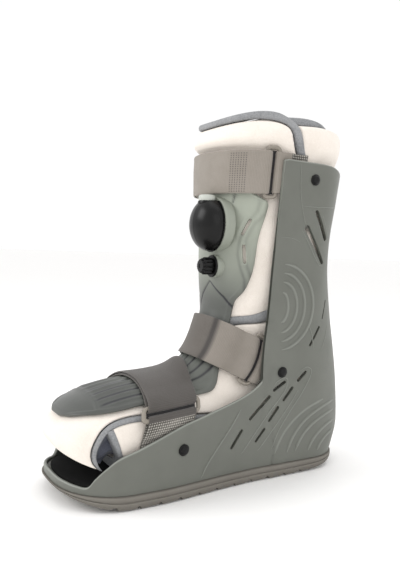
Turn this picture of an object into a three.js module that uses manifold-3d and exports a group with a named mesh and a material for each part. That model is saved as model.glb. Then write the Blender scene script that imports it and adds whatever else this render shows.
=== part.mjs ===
// Medical walking boot: a rigid shell on a rocker sole, a padded sock with a calf flap and
// a toe flap, a bent front plate with a hand pump, and three straps through wire rings.
// Millimetres, +Z up, toe towards -Y, the outer side of the boot towards +X.
import * as THREE from "three";
import { mergeVertices } from "three/addons/utils/BufferGeometryUtils.js";
import Module from "manifold-3d";

const wasm = await Module();
wasm.setup();

// Driving dimensions
const toeReach = 203;
const heelReach = 84;
const ballHalfWidth = 55;
const calfFlare = 18.5;
const shellHeight = 286;
const sockRise = 39;
const soleThickness = 12;
const rockerRise = 13;
const heelRise = 9;
const rockerStart = 0.76;
const heelStart = 0.1;
const toeSpring = 3;
const treadPitch = 19;
const treadWidth = 3.2;
const treadDepth = 2.4;
const shellWall = 3;
const insoleThickness = 2.6;
const sockWall = 6;
const flapThickness = 5;
const plateThickness = 2.5;
const strapThickness = 2;
const webbingThickness = 0.9;
const foldGap = 0.35;
const legStrapWidth = 39;
const toeStrapWidth = 45;
const bindingWidth = 6;
const ringWire = 3.4;
const ringSpread = 9.5;
const rivetRadius = 4.8;
const rivetHeight = 3;
const ventWidth = 3.4;
const reliefHeight = 1;
const reliefWidth = 3.2;
const reliefSink = 0.8;
const collarRadius = 24;
const collarRise = 2.5;
const bossTaper = 1;
const bulbRadius = 20;
const bulbTall = 1.15;
const bulbDepth = 16.5;
const bulbStand = 4;
const valveRadius = 8;
const valveRise = 2;
const capRadius = 7;
const capLength = 3.4;
const knobRadius = 7.8;
const knobLength = 8;
const knobTop = 3;
const stemRadius = 3;
const layerGap = 1;
const rimArch = 7;
const treadBevel = 2.5;
const soleMargin = 1.5;
const heelMargin = 1;
const insoleMargin = 1.4;
const ringCorner = 2.5;
const strapSlack = 0.5;
const webbingTuck = 28;
const webbingMargin = 1;

// Heights and offsets that follow from the shell and the layers
const rimHeight = shellHeight + sockRise;
const floorTop = soleThickness + foldGap + shellWall;
const insoleTop = floorTop + foldGap + insoleThickness;
const strapRoom = strapThickness + 2 * layerGap + strapSlack;
const flapOuter = layerGap + flapThickness;
const shellInset = shellWall + strapRoom + flapOuter;
const sockFloor = insoleTop + layerGap + flapOuter;
const plateInner = flapOuter + 1.2 * layerGap;
const plateOuter = plateInner + plateThickness;

// Half width of the sole along the foot: fore from the ankle as a share of toeReach, width of ballHalfWidth
const soleOutline = [
  { fore: -0.2, width: 0.745 },
  { fore: 0, width: 0.764 },
  { fore: 0.15, width: 0.78 },
  { fore: 0.3, width: 0.836 },
  { fore: 0.44, width: 0.91 },
  { fore: 0.59, width: 0.982 },
  { fore: 0.74, width: 1 },
];

// Growth of the shell with height: height as a share of shellHeight, flare as a share of calfFlare,
// centre of the round heel and its reach as shares of heelReach
const shellProfile = [
  { height: 0.045, flare: 0.05, centre: 0.48, reach: 0.5 },
  { height: 0.1, flare: 0.15, centre: 0.46, reach: 0.59 },
  { height: 0.14, flare: 0.2, centre: 0.42, reach: 0.67 },
  { height: 0.28, flare: 0.34, centre: 0.32, reach: 0.73 },
  { height: 0.4, flare: 0.45, centre: 0.24, reach: 0.735 },
  { height: 0.53, flare: 0.53, centre: 0.24, reach: 0.62 },
  { height: 0.665, flare: 0.6, centre: 0.24, reach: 0.53 },
  { height: 0.77, flare: 0.71, centre: 0.24, reach: 0.525 },
  { height: 0.89, flare: 0.87, centre: 0.24, reach: 0.59 },
  { height: 1, flare: 1, centre: 0.24, reach: 0.645 },
];

// Edge of the shell from the toe to the back: fore as a share of toeReach, or of the heel's reach
// when negative, height as a share of shellHeight, foot is where the column stands on the sole
const shellEdge = [
  { fore: 1, height: 0.076, foot: 1 },
  { fore: 0.985, height: 0.074, foot: 0.985 },
  { fore: 0.955, height: 0.07, foot: 0.955 },
  { fore: 0.92, height: 0.069, foot: 0.92 },
  { fore: 0.895, height: 0.094, foot: 0.89 },
  { fore: 0.86, height: 0.122, foot: 0.85 },
  { fore: 0.8, height: 0.154, foot: 0.79 },
  { fore: 0.68, height: 0.185, foot: 0.68 },
  { fore: 0.55, height: 0.22, foot: 0.56 },
  { fore: 0.42, height: 0.243, foot: 0.44 },
  { fore: 0.25, height: 0.276, foot: 0.34 },
  { fore: 0.159, height: 0.308, foot: 0.28 },
  { fore: 0.101, height: 0.353, foot: 0.24 },
  { fore: 0.069, height: 0.402, foot: 0.205 },
  { fore: 0.062, height: 0.458, foot: 0.175 },
  { fore: 0.084, height: 0.57, foot: 0.148 },
  { fore: 0.103, height: 0.69, foot: 0.122 },
  { fore: 0.106, height: 0.82, foot: 0.096 },
  { fore: 0.104, height: 0.978, foot: 0.07 },
  { fore: 0.092, height: 0.999, foot: 0.04 },
  { fore: 0.02, height: 1, foot: 0.01 },
  { fore: -0.16, height: 0.997, foot: -0.16 },
  { fore: -0.33, height: 0.99, foot: -0.33 },
  { fore: -0.5, height: 0.981, foot: -0.5 },
  { fore: -0.67, height: 0.971, foot: -0.67 },
  { fore: -0.84, height: 0.962, foot: -0.84 },
  { fore: -1, height: 0.958, foot: -1 },
];

// Sections of the sock, from the rim down the leg, round the heel and out to the toes. Front and
// back are the ends of each section: front as a share of toeReach, its height of rimHeight, back as a
// share of the way from the heel to the toe, its height of shellHeight (0 rests on the insole); half
// is a share of the room in the shell, crown and base are the exponents of the two halves
const sockSections = [
  { front: 0.288, top: 0.967, back: 0.016, low: 1.135, half: 0.97, crown: 2.2, base: 2.2 },
  { front: 0.297, top: 0.93, back: -0.018, low: 1.09, half: 1.1, crown: 2.2, base: 2.2 },
  { front: 0.258, top: 0.902, back: -0.002, low: 0.99, half: 1, crown: 2.2, base: 2.2 },
  { front: 0.256, top: 0.85, back: 0, low: 0.92, half: 1, crown: 2.2, base: 2.2 },
  { front: 0.254, top: 0.77, back: 0, low: 0.83, half: 1, crown: 2.2, base: 2.2 },
  { front: 0.253, top: 0.677, back: 0, low: 0.74, half: 1, crown: 2.2, base: 2.2 },
  { front: 0.252, top: 0.585, back: 0, low: 0.655, half: 1, crown: 2.2, base: 2.2 },
  { front: 0.25, top: 0.529, back: 0, low: 0.525, half: 1, crown: 2.2, base: 2.2 },
  { front: 0.248, top: 0.486, back: 0, low: 0.385, half: 1, crown: 2.2, base: 2.2 },
  { front: 0.252, top: 0.452, back: 0, low: 0.25, half: 1, crown: 2.2, base: 2.2 },
  { front: 0.279, top: 0.398, back: 0, low: 0.14, half: 1, crown: 2.2, base: 2.2 },
  { front: 0.321, top: 0.34, back: 0.045, low: 0, half: 1, crown: 2.2, base: 2.3 },
  { front: 0.378, top: 0.304, back: 0.13, low: 0, half: 1, crown: 2.2, base: 2.5 },
  { front: 0.43, top: 0.287, back: 0.237, low: 0, half: 0.97, crown: 2.2, base: 2.8 },
  { front: 0.49, top: 0.276, back: 0.362, low: 0, half: 0.97, crown: 2.2, base: 3 },
  { front: 0.56, top: 0.267, back: 0.487, low: 0, half: 0.97, crown: 2.2, base: 3 },
  { front: 0.63, top: 0.26, back: 0.602, low: 0, half: 0.97, crown: 2.2, base: 3 },
  { front: 0.7, top: 0.253, back: 0.702, low: 0, half: 0.97, crown: 2.2, base: 3 },
  { front: 0.77, top: 0.244, back: 0.781, low: 0, half: 0.97, crown: 2.2, base: 3 },
  { front: 0.84, top: 0.233, back: 0.82, low: 0, half: 0.98, crown: 2.2, base: 2.6 },
  { front: 0.908, top: 0.216, back: 0.83, low: 0, half: 0.95, crown: 2.2, base: 2.2 },
  { front: 0.963, top: 0.186, back: 0.838, low: 0, half: 0.92, crown: 2.3, base: 2.2 },
  { front: 0.982, top: 0.155, back: 0.845, low: 0, half: 0.9, crown: 2.4, base: 2.2 },
  { front: 0.97, top: 0.125, back: 0.85, low: 0, half: 0.88, crown: 2.4, base: 2.2 },
];

// Edges of the layers over the sock: station counts sections, turn is 0 at the front and 1 at the side
const flapEdge = [
  { station: -1, turn: 0.9 },
  { station: 0, turn: 0.93 },
  { station: 1.5, turn: 0.97 },
  { station: 3, turn: 1.06 },
  { station: 6, turn: 1.09 },
  { station: 10, turn: 1.06 },
  { station: 13, turn: 0.95 },
  { station: 15, turn: 0.8 },
  { station: 17, turn: 0.66 },
  { station: 19, turn: 0.64 },
  { station: 21, turn: 0.8 },
  { station: 23, turn: 0.87 },
];
const plateEdge = [
  { station: 2.6, turn: 0.36 },
  { station: 2.9, turn: 0.46 },
  { station: 3.3, turn: 0.51 },
  { station: 3.85, turn: 0.54 },
  { station: 4.2, turn: 0.7 },
  { station: 5, turn: 0.65 },
  { station: 6, turn: 0.61 },
  { station: 6.9, turn: 0.52 },
  { station: 7.7, turn: 0.4 },
  { station: 9.5, turn: 0.36 },
  { station: 11, turn: 0.42 },
  { station: 12.2, turn: 0.55 },
  { station: 13, turn: 0.6 },
  { station: 15, turn: 0.55 },
  { station: 17.5, turn: 0.54 },
  { station: 18.6, turn: 0.52 },
  { station: 19.6, turn: 0.44 },
  { station: 20.4, turn: 0.27 },
  { station: 20.75, turn: 0.08 },
];
const flapTurn = (station) => edgeTurn(flapEdge, station) - 0.01;
const rimSeam = 0.06;
const rimBand = 0.5;
const rimRise = 10;
const vampEnd = 22.95;
const sockEnd = 19.2;

// Lower hem of the calf flap by the share across it, 0 at the front and 1 at its edges
const hemStation = (share) => mix(8.9, 6.9, Math.abs(share));
const vampStation = (share) => hemStation(share) + 0.5;

// Straps: the plane across each strap leans by tilt from the vertical towards the toe, level is its
// distance from the ankle's ground point, ring is the turn of its ring on the outer side
// and plate the turn of the plate's edge under it, lap is how far the return reaches as a share of
// that turn, and the strap lies between the stations from and to
const strapPaths = [
  { name: "calf", tilt: 0, ring: 0.66, plate: 0.54, lap: 1.2, from: 1, to: 6 },
  { name: "ankle", tilt: 27, ring: 0.68, plate: 0.45, lap: 0.35, from: 5, to: 14 },
  { name: "toe", tilt: -76, ring: 0.63, plate: 0.57, lap: 0.9, from: 11, to: 20.5 },
];
const strapSizes = {
  calf: { level: 0.955 * shellHeight, width: legStrapWidth },
  ankle: { level: 0.29 * shellHeight, width: legStrapWidth },
  toe: { level: 0.65 * toeReach, width: toeStrapWidth },
};
const straps = strapPaths.map((row) => ({ ...row, ...strapSizes[row.name] }));
const strapTuck = 1.12;
const turnLength = 86;
const turnStep = 0.03;
const strapStep = 9;
const strapRamp = 6;
const returnRamp = 16;

// Pump and release valve on the plate: side of the middle, heights and the faces that they sit on
const pumpSide = 13;
const bulbHeight = 0.705 * rimHeight;
const knobHeight = 0.59 * rimHeight;
const pumpFace = 0.253 * toeReach + plateOuter + collarRise;
const valveFace = 0.252 * toeReach + plateOuter + valveRise;
const bulbTop = bulbHeight + bulbRadius * bulbTall * 0.86;
const plateVent = 3.2;

// Rivets through the shell: fore as a share of toeReach, height of shellHeight
const rivets = [
  { strap: "calf", fore: -0.069, height: 0.947 },
  { strap: "ankle", fore: 0.033, height: 0.345 },
  { strap: "toe", fore: 0.537, height: 0.15 },
];

// Vents through each side of the shell: ends as shares of toeReach and shellHeight
const shellVents = [
  { foreA: -0.065, heightA: 0.315, foreB: -0.102, heightB: 0.338 },
  { foreA: 0.068, heightA: 0.29, foreB: 0.014, heightB: 0.312 },
  { foreA: 0.01, heightA: 0.255, foreB: -0.032, heightB: 0.29 },
  { foreA: 0.19, heightA: 0.207, foreB: 0.094, heightB: 0.269 },
  { foreA: 0.083, heightA: 0.193, foreB: 0.042, heightB: 0.231 },
  { foreA: 0.149, heightA: 0.132, foreB: 0.108, heightB: 0.166 },
  { foreA: 0.283, heightA: 0.125, foreB: 0.235, heightB: 0.173 },
  { foreA: -0.117, heightA: 0.427, foreB: -0.167, heightB: 0.482 },
  { foreA: -0.098, heightA: 0.85, foreB: -0.168, heightB: 0.77 },
  { foreA: -0.05, heightA: 0.8, foreB: -0.16, heightB: 0.693 },
];

// Raised arcs on each side of the shell: middle and half sizes of an ellipse as shares of toeReach
// and shellHeight, between two angles in degrees, 0 towards the toe and 90 upwards
const shellArcs = [
  { fore: 0.062, height: 0.55, long: 0.18, tall: 0.134, from: 92, to: 262, steps: 5 },
  { fore: 0.062, height: 0.55, long: 0.131, tall: 0.107, from: 92, to: 262, steps: 5 },
  { fore: 0.062, height: 0.55, long: 0.086, tall: 0.079, from: 92, to: 262, steps: 4 },
  { fore: 0.062, height: 0.55, long: 0.037, tall: 0.047, from: 100, to: 262, steps: 4 },
  { fore: -0.335, height: 0.052, long: 0.304, tall: 0.174, from: 88, to: 12, steps: 4 },
  { fore: -0.335, height: 0.052, long: 0.256, tall: 0.142, from: 88, to: 12, steps: 4 },
  { fore: -0.335, height: 0.052, long: 0.177, tall: 0.105, from: 88, to: 14, steps: 3 },
  { fore: 0.463, height: 0.3, long: 0.219, tall: 0.25, from: 190, to: 262, steps: 3 },
];

// Vents through each side of the plate: station and turn of the ends
const plateVents = [
  { stationA: 4.55, turnA: 0.55, stationB: 4.95, turnB: 0.48 },
  { stationA: 5.3, turnA: 0.5, stationB: 5.75, turnB: 0.52 },
];

const materials = {
  shell: { color: 0x797e76, roughness: 0.62, metalness: 0 },
  plate: { color: 0x87918a, roughness: 0.5, metalness: 0 },
  sole: { color: 0x77726c, roughness: 0.85, metalness: 0 },
  insole: { color: 0x171614, roughness: 0.9, metalness: 0 },
  sock: { color: 0xefe6dd, roughness: 0.95, metalness: 0 },
  binding: { color: 0x8d8f92, roughness: 0.95, metalness: 0 },
  strap: { color: 0x8f887f, roughness: 0.9, metalness: 0 },
  ring: { color: 0x8c857b, roughness: 0.5, metalness: 0 },
  black: { color: 0x121312, roughness: 0.35, metalness: 0 },
  valve: { color: 0xb9bcb5, roughness: 0.4, metalness: 0 },
};

const boot = new THREE.Group();

function mix(a, b, share) {
  return a + (b - a) * share;
}

// Value of a column of a table at a place along another, by smooth cubic pieces
function sample(rows, along, column, place) {
  const last = rows.length - 1;
  let i = 0;
  while (i < last - 1 && place > rows[i + 1][along]) {
    i += 1;
  }
  const a = rows[i];
  const b = rows[i + 1];
  const before = rows[Math.max(i - 1, 0)];
  const after = rows[Math.min(i + 2, last)];
  const span = b[along] - a[along];
  const t = (place - a[along]) / span;
  const slopeA = ((b[column] - before[column]) / (b[along] - before[along])) * span;
  const slopeB = ((after[column] - a[column]) / (after[along] - a[along])) * span;
  if (t <= 0) {
    return a[column];
  }
  if (t >= 1) {
    return b[column];
  }
  const rise = b[column] - a[column];
  const bend = t * (1 - t) * ((1 - t) * (slopeA - rise) - t * (slopeB - rise));
  return a[column] + rise * t + bend;
}

// Point from its side, fore and height, as a vector of the boot's frame
function place(side, fore, height) {
  return new THREE.Vector3(side, -fore, height);
}

// Signed power, for superellipse arcs
function power(value, exponent) {
  return Math.sign(value) * Math.abs(value) ** exponent;
}

function shellFlare(height) {
  return calfFlare * sample(shellProfile, "height", "flare", height / shellHeight);
}

function soleHalf(fore) {
  return ballHalfWidth * sample(soleOutline, "fore", "width", fore / toeReach);
}

function shellHalf(fore, height) {
  return soleHalf(fore) + shellFlare(height);
}

function heelCentre(height) {
  return -heelReach * sample(shellProfile, "height", "centre", height / shellHeight);
}

function heelDepth(height) {
  return heelReach * sample(shellProfile, "height", "reach", height / shellHeight);
}

const toeStart = 0.74 * toeReach;
const toeSquare = 2 / 2.8;

// Outline of the shell at a height: fore share 1 is the toe's tip, 0 the ankle, -1 the middle of the back
function shellPlan(share, height, inset) {
  const centre = heelCentre(height);
  if (share < 0) {
    const angle = (-share * Math.PI) / 2;
    const half = shellHalf(centre, height) - inset;
    return [half * Math.cos(angle), centre - (heelDepth(height) - inset) * Math.sin(angle)];
  }
  const straight = toeStart / toeReach;
  if (share <= straight) {
    const fore = mix(centre, toeStart, share / straight);
    return [shellHalf(fore, height) - inset, fore];
  }
  const angle = (((share - straight) / (1 - straight)) * Math.PI) / 2;
  const side = (shellHalf(toeStart, height) - inset) * power(Math.cos(angle), toeSquare);
  return [Math.max(side, 0), toeStart + (toeReach - toeStart - inset) * Math.sin(angle)];
}

// Outline share at which the shell reaches a fore distance, at a height
function shellShare(fore, height) {
  const straight = toeStart / toeReach;
  const centre = heelCentre(height);
  if (fore <= toeStart) {
    return (straight * (fore - centre)) / (toeStart - centre);
  }
  const rise = Math.min((fore - toeStart) / (toeReach - toeStart), 1);
  return straight + ((1 - straight) * Math.asin(rise)) / (Math.PI / 2);
}

// Lift of the sole's top towards the tip of the toe
function toeLift(fore) {
  const share = Math.max(0, (fore - toeStart) / (toeReach - toeStart));
  return toeSpring * share * share;
}

// Closed solid from quads of points; collapsed faces are dropped and all faces turned outwards
function solidFrom(points, faces) {
  const geometry = new THREE.BufferGeometry();
  const position = new Float32Array(points.length * 3);
  points.forEach((point, i) => point.toArray(position, i * 3));
  geometry.setAttribute("position", new THREE.BufferAttribute(position, 3));
  const index = [];
  for (const face of faces) {
    for (let i = 2; i < face.length; i += 1) {
      index.push(face[0], face[i - 1], face[i]);
    }
  }
  geometry.setIndex(index);
  return tidy(geometry);
}

function tidy(source) {
  const bare = source.clone();
  bare.deleteAttribute("normal");
  bare.deleteAttribute("uv");
  const merged = mergeVertices(bare, 1e-3);
  const corners = merged.getIndex().array;
  const position = merged.getAttribute("position");
  const kept = [];
  let volume = 0;
  const a = new THREE.Vector3();
  const b = new THREE.Vector3();
  const c = new THREE.Vector3();
  for (let i = 0; i < corners.length; i += 3) {
    const [p, q, r] = [corners[i], corners[i + 1], corners[i + 2]];
    if (p !== q && q !== r && r !== p) {
      kept.push(p, q, r);
      a.fromBufferAttribute(position, p);
      b.fromBufferAttribute(position, q);
      c.fromBufferAttribute(position, r);
      volume += a.dot(b.cross(c));
    }
  }
  if (volume < 0) {
    kept.reverse();
  }
  merged.setIndex(kept);
  return merged;
}

function toManifold(geometry) {
  const bare = tidy(geometry);
  const vertProperties = new Float32Array(bare.getAttribute("position").array);
  const triVerts = new Uint32Array(bare.getIndex().array);
  return new wasm.Manifold(new wasm.Mesh({ numProp: 3, vertProperties, triVerts }));
}

function fromManifold(solid) {
  const mesh = solid.getMesh();
  const geometry = new THREE.BufferGeometry();
  const corners = new Float32Array(mesh.vertProperties);
  geometry.setAttribute("position", new THREE.BufferAttribute(corners, 3));
  geometry.setIndex([...mesh.triVerts]);
  return geometry;
}

function cut(geometry, cutters) {
  let solid = toManifold(geometry);
  for (const cutter of cutters) {
    solid = solid.subtract(toManifold(cutter));
  }
  return fromManifold(solid);
}

function join(geometries) {
  let solid = toManifold(geometries[0]);
  for (const geometry of geometries.slice(1)) {
    solid = solid.add(toManifold(geometry));
  }
  return fromManifold(solid);
}

// Solid between two grids of points, outer and inner, with its rims closed. A looped grid joins its
// last column to its first, and a grid that closes on itself at both ends needs no end walls
function between(rows, columns, outer, inner, looped, endWalls = true) {
  const points = [];
  const faces = [];
  const across = looped ? columns : columns + 1;
  for (const surface of [outer, inner]) {
    for (let i = 0; i <= rows; i += 1) {
      for (let j = 0; j < across; j += 1) {
        points.push(surface(i / rows, j / columns));
      }
    }
  }
  const sheet = (rows + 1) * across;
  const at = (side, i, j) => side * sheet + i * across + (j % across);
  for (let i = 0; i < rows; i += 1) {
    for (let j = 0; j < columns; j += 1) {
      faces.push([at(0, i, j), at(0, i + 1, j), at(0, i + 1, j + 1), at(0, i, j + 1)]);
      faces.push([at(1, i, j), at(1, i, j + 1), at(1, i + 1, j + 1), at(1, i + 1, j)]);
    }
  }
  for (let j = 0; endWalls && j < columns; j += 1) {
    faces.push([at(0, 0, j), at(0, 0, j + 1), at(1, 0, j + 1), at(1, 0, j)]);
    faces.push([at(0, rows, j + 1), at(0, rows, j), at(1, rows, j), at(1, rows, j + 1)]);
  }
  if (!looped) {
    for (let i = 0; i < rows; i += 1) {
      faces.push([at(0, i + 1, 0), at(0, i, 0), at(1, i, 0), at(1, i + 1, 0)]);
      faces.push([at(0, i, columns), at(0, i + 1, columns), at(1, i + 1, columns), at(1, i, columns)]);
    }
  }
  return solidFrom(points, faces);
}

function add(name, geometry, look) {
  const material = new THREE.MeshStandardMaterial(materials[look]);
  const mesh = new THREE.Mesh(geometry, material);
  mesh.name = name;
  boot.add(mesh);
  return mesh;
}

// One column of the shell, from its edge down to the sole, as outline share and height
function shellColumn(along, down, inset) {
  const row = (1 - along) * (shellEdge.length - 1);
  const i = Math.min(Math.floor(row), shellEdge.length - 2);
  const part = row - i;
  const edge = shellEdge[i];
  const next = shellEdge[i + 1];
  const height = shellHeight * mix(edge.height, next.height, part);
  const edgeShare = mix(shareOf(edge.fore, height), shareOf(next.fore, height), part);
  const footShare = mix(shareOf(edge.foot, soleThickness), shareOf(next.foot, soleThickness), part);
  const standing = shellPlan(footShare, soleThickness, 0)[1];
  const ground = soleThickness + foldGap + toeLift(standing) + inset;
  return [mix(edgeShare, footShare, down), mix(height, ground, down)];
}

function shareOf(fore, height) {
  return fore < 0 ? fore : shellShare(fore * toeReach, height);
}

const shellRows = 6;

// Shell surface over one side, its floor and the other side; inset 0 is outside
function shellSurface(along, round, inset) {
  const rows = shellRows;
  const step = round * (2 * rows + 1);
  const far = step > rows;
  const down = Math.min(far ? 2 * rows + 1 - step : step, rows) / rows;
  const [share, height] = shellColumn(along, down, inset);
  const [side, fore] = shellPlan(share, height, inset);
  return place(far ? -side : side, fore, height);
}

// Slot cutter between two points of the side, deep enough for both walls
function slotCutter(foreA, heightA, foreB, heightB, width, depth) {
  const length = Math.hypot(foreB - foreA, heightB - heightA);
  const geometry = new THREE.BoxGeometry(length, width, depth);
  geometry.rotateZ(Math.atan2(heightB - heightA, foreB - foreA));
  geometry.rotateX(Math.PI / 2);
  geometry.rotateZ(-Math.PI / 2);
  geometry.translate(0, -(foreA + foreB) / 2, (heightA + heightB) / 2);
  return geometry;
}

// Place on the shell's side at a fore distance and a height, moved outwards
function shellSpot(fore, height, out) {
  const centre = heelCentre(height);
  const behind = Math.asin(Math.min(Math.max((centre - fore) / heelDepth(height), 0), 1));
  const share = behind > 0 ? (-2 * behind) / Math.PI : shellShare(fore, height);
  return shellPlan(share, height, -out);
}

// Raised rib along an arc of the shell's side
function buildArc(arc, sign) {
  const loop = [
    [-reliefWidth / 2, -reliefSink],
    [-reliefWidth / 4, reliefHeight],
    [reliefWidth / 4, reliefHeight],
    [reliefWidth / 2, -reliefSink],
  ];
  const points = [];
  const faces = [];
  const sides = loop.length;
  for (let i = 0; i <= arc.steps; i += 1) {
    const angle = (mix(arc.from, arc.to, i / arc.steps) * Math.PI) / 180;
    for (const [away, out] of loop) {
      const fore = arc.fore * toeReach + (arc.long * toeReach + away) * Math.cos(angle);
      const height = arc.height * shellHeight + (arc.tall * shellHeight + away) * Math.sin(angle);
      const [side, reach] = shellSpot(fore, height, out);
      points.push(place(side * sign, reach, height));
    }
  }
  for (let i = 0; i < arc.steps; i += 1) {
    for (let j = 0; j < sides; j += 1) {
      const next = (j + 1) % sides;
      faces.push([i * sides + j, (i + 1) * sides + j, (i + 1) * sides + next, i * sides + next]);
    }
  }
  faces.push([0, 1, 2, 3]);
  faces.push([3, 2, 1, 0].map((j) => arc.steps * sides + j));
  return solidFrom(points, faces);
}

// Shell with its raised arcs and its vents
function buildShell() {
  const outer = (along, round) => shellSurface(along, round, 0);
  const inner = (along, round) => shellSurface(along, round, shellWall);
  const body = between(shellEdge.length - 1, 2 * shellRows + 1, outer, inner, false, false);
  const cutters = shellVents.map((vent) => {
    const { foreA, heightA, foreB, heightB } = vent;
    const reach = 4 * ballHalfWidth;
    const ends = [foreA * toeReach, heightA * shellHeight, foreB * toeReach, heightB * shellHeight];
    return slotCutter(...ends, ventWidth, reach);
  });
  const arcs = [1, -1].flatMap((sign) => shellArcs.map((arc) => buildArc(arc, sign)));
  return cut(join([body, ...arcs]), cutters);
}

// Sole under the shell: tread notches across a rocker bottom
function buildSole() {
  const rise = (fore) => {
    const toe = Math.max(0, fore / toeReach - rockerStart) / (1 - rockerStart);
    const heel = Math.max(0, -fore / heelReach - heelStart) / (1 - heelStart);
    return rockerRise * toe ** 1.7 + heelRise * heel ** 2;
  };
  const section = (along, corner) => {
    const share = mix(-1, 1, along);
    const [side, fore] = shellPlan(share, soleThickness, share < 0 ? -heelMargin : -soleMargin);
    const top = soleThickness + toeLift(fore);
    const low = rise(fore);
    const bevel = Math.max(side - treadBevel, 0);
    const waist = mix(low, top, 0.45);
    return [
      place(side, fore, top),
      place(side, fore, waist),
      place(bevel, fore, low),
      place(-bevel, fore, low),
      place(-side, fore, waist),
      place(-side, fore, top),
    ][corner];
  };
  const steps = 32;
  const points = [];
  const faces = [];
  for (let i = 0; i <= steps; i += 1) {
    for (let corner = 0; corner < 6; corner += 1) {
      points.push(section(i / steps, corner));
    }
  }
  for (let i = 0; i < steps; i += 1) {
    for (let corner = 0; corner < 6; corner += 1) {
      const next = (corner + 1) % 6;
      faces.push([i * 6 + corner, i * 6 + next, (i + 1) * 6 + next, (i + 1) * 6 + corner]);
    }
  }
  const body = solidFrom(points, faces);
  const firstNotch = 0.82 * toeReach;
  const lastNotch = -0.33 * heelReach;
  const count = Math.floor((firstNotch - lastNotch) / treadPitch);
  const notches = [];
  for (let i = 0; i <= count; i += 1) {
    const notch = new THREE.BoxGeometry(4 * ballHalfWidth, treadWidth, 2 * treadDepth);
    notch.translate(0, i * treadPitch - firstNotch, 0);
    notches.push(notch);
  }
  return cut(body, notches);
}

// Insole laid on the shell's floor
function buildInsole() {
  const inset = shellWall + layerGap + insoleMargin;
  const edge = (along, height) => {
    const [side, fore] = shellPlan(mix(-1, 1, along), soleThickness, inset);
    return [Math.max(side, 0), fore, height + toeLift(fore)];
  };
  const top = (along, across) => {
    const [side, fore, height] = edge(along, insoleTop);
    return place(mix(side, -side, across), fore, height);
  };
  const bottom = (along, across) => {
    const [side, fore, height] = edge(along, floorTop + foldGap);
    return place(mix(side, -side, across), fore, height);
  };
  return between(30, 1, top, bottom, false);
}

function sectionAt(station) {
  const last = sockSections.length - 1;
  const rows = sockSections.map((row, i) => ({ ...row, station: i }));
  const pick = (column) => sample(rows, "station", column, Math.min(Math.max(station, 0), last));
  const low = Math.max(pick("low") * shellHeight, sockFloor);
  const wall = heelCentre(low) - heelDepth(low) + shellInset;
  const back = mix(wall, toeReach, pick("back"));
  const front = pick("front") * toeReach;
  const top = pick("top") * rimHeight;
  const room = shellHalf((front + back) / 2, Math.min((top + low) / 2, shellHeight)) - shellInset;
  const above = rimRise * Math.max(-station, 0);
  return {
    front,
    top: top + above,
    back,
    low: low + above,
    half: room * pick("half"),
    crown: pick("crown"),
    base: pick("base"),
  };
}

const sectionCache = new Map();

function section(station) {
  const key = Math.round(station * 1e6);
  if (!sectionCache.has(key)) {
    sectionCache.set(key, sectionAt(station));
  }
  return sectionCache.get(key);
}

// Point over the sock: station along it, turn round it and distance out from its surface
function over(station, turn, out) {
  const cross = section(station);
  const angle = (Math.abs(turn) * Math.PI) / 2;
  const length = Math.hypot(cross.front - cross.back, cross.top - cross.low);
  const lean = [(cross.front - cross.back) / length, (cross.top - cross.low) / length];
  const ahead = Math.cos(angle);
  const exponent = 2 / (ahead > 0 ? cross.crown : cross.base);
  const reach = (length / 2 + out) * power(ahead, exponent);
  const side = (cross.half + out) * power(Math.sin(angle), exponent);
  const fore = (cross.front + cross.back) / 2 + lean[0] * reach;
  const arch = rimArch * Math.max(0, 1 - station / 2) * Math.max(0, Math.sin(angle)) ** 2;
  const height = (cross.top + cross.low) / 2 + lean[1] * reach + arch;
  return place(Math.sign(turn) * side, fore, height);
}

function edgeTurn(table, station) {
  return sample(table, "station", "turn", station);
}

// Thick layer over the sock between two stations given across it, out to an edge on both sides
function layer(from, to, rows, columns, edge, inner, outer) {
  const at = (along, across, out) => {
    const share = mix(-1, 1, across);
    const station = mix(from(share), to(share), along);
    return over(station, edge(station) * share, out);
  };
  return between(
    rows,
    columns,
    (along, across) => at(along, across, outer),
    (along, across) => at(along, across, inner),
    false,
  );
}

// Padded sock: full thickness at the back and sides, thinner under the flaps, open over the instep
function buildSock() {
  const columns = 24;
  const stepTurn = 0.05;
  const turns = [];
  const side = [0, 0.3, 0.6, 0.85, 1, 1 + stepTurn];
  for (const turn of side) {
    turns.push({ share: turn, beyond: 0 });
  }
  for (const beyond of [0.2, 0.4, 0.6, 0.8, 1]) {
    turns.push({ share: 1, beyond });
  }
  const count = 2 * (turns.length - 1);
  const turnAt = (station, index) => {
    const far = index >= turns.length;
    const item = turns[far ? count - index : index];
    const edge = flapTurn(station) + (bindingWidth + 2 * layerGap) / turnLength;
    const turn = item.beyond > 0 ? mix(edge + stepTurn, 2, item.beyond) : edge * item.share;
    const thick = item.beyond > 0 || item.share > 1;
    return { turn: far ? -turn : turn, thick };
  };
  const outer = (along, round) => {
    const station = sockEnd * along;
    const { turn, thick } = turnAt(station, Math.round(round * count));
    return over(station, turn, thick ? flapOuter : 0);
  };
  const inner = (along, round) => {
    const station = sockEnd * along;
    const { turn } = turnAt(station, Math.round(round * count));
    return over(station, turn, -sockWall);
  };
  return between(columns, count, outer, inner, true);
}

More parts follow.
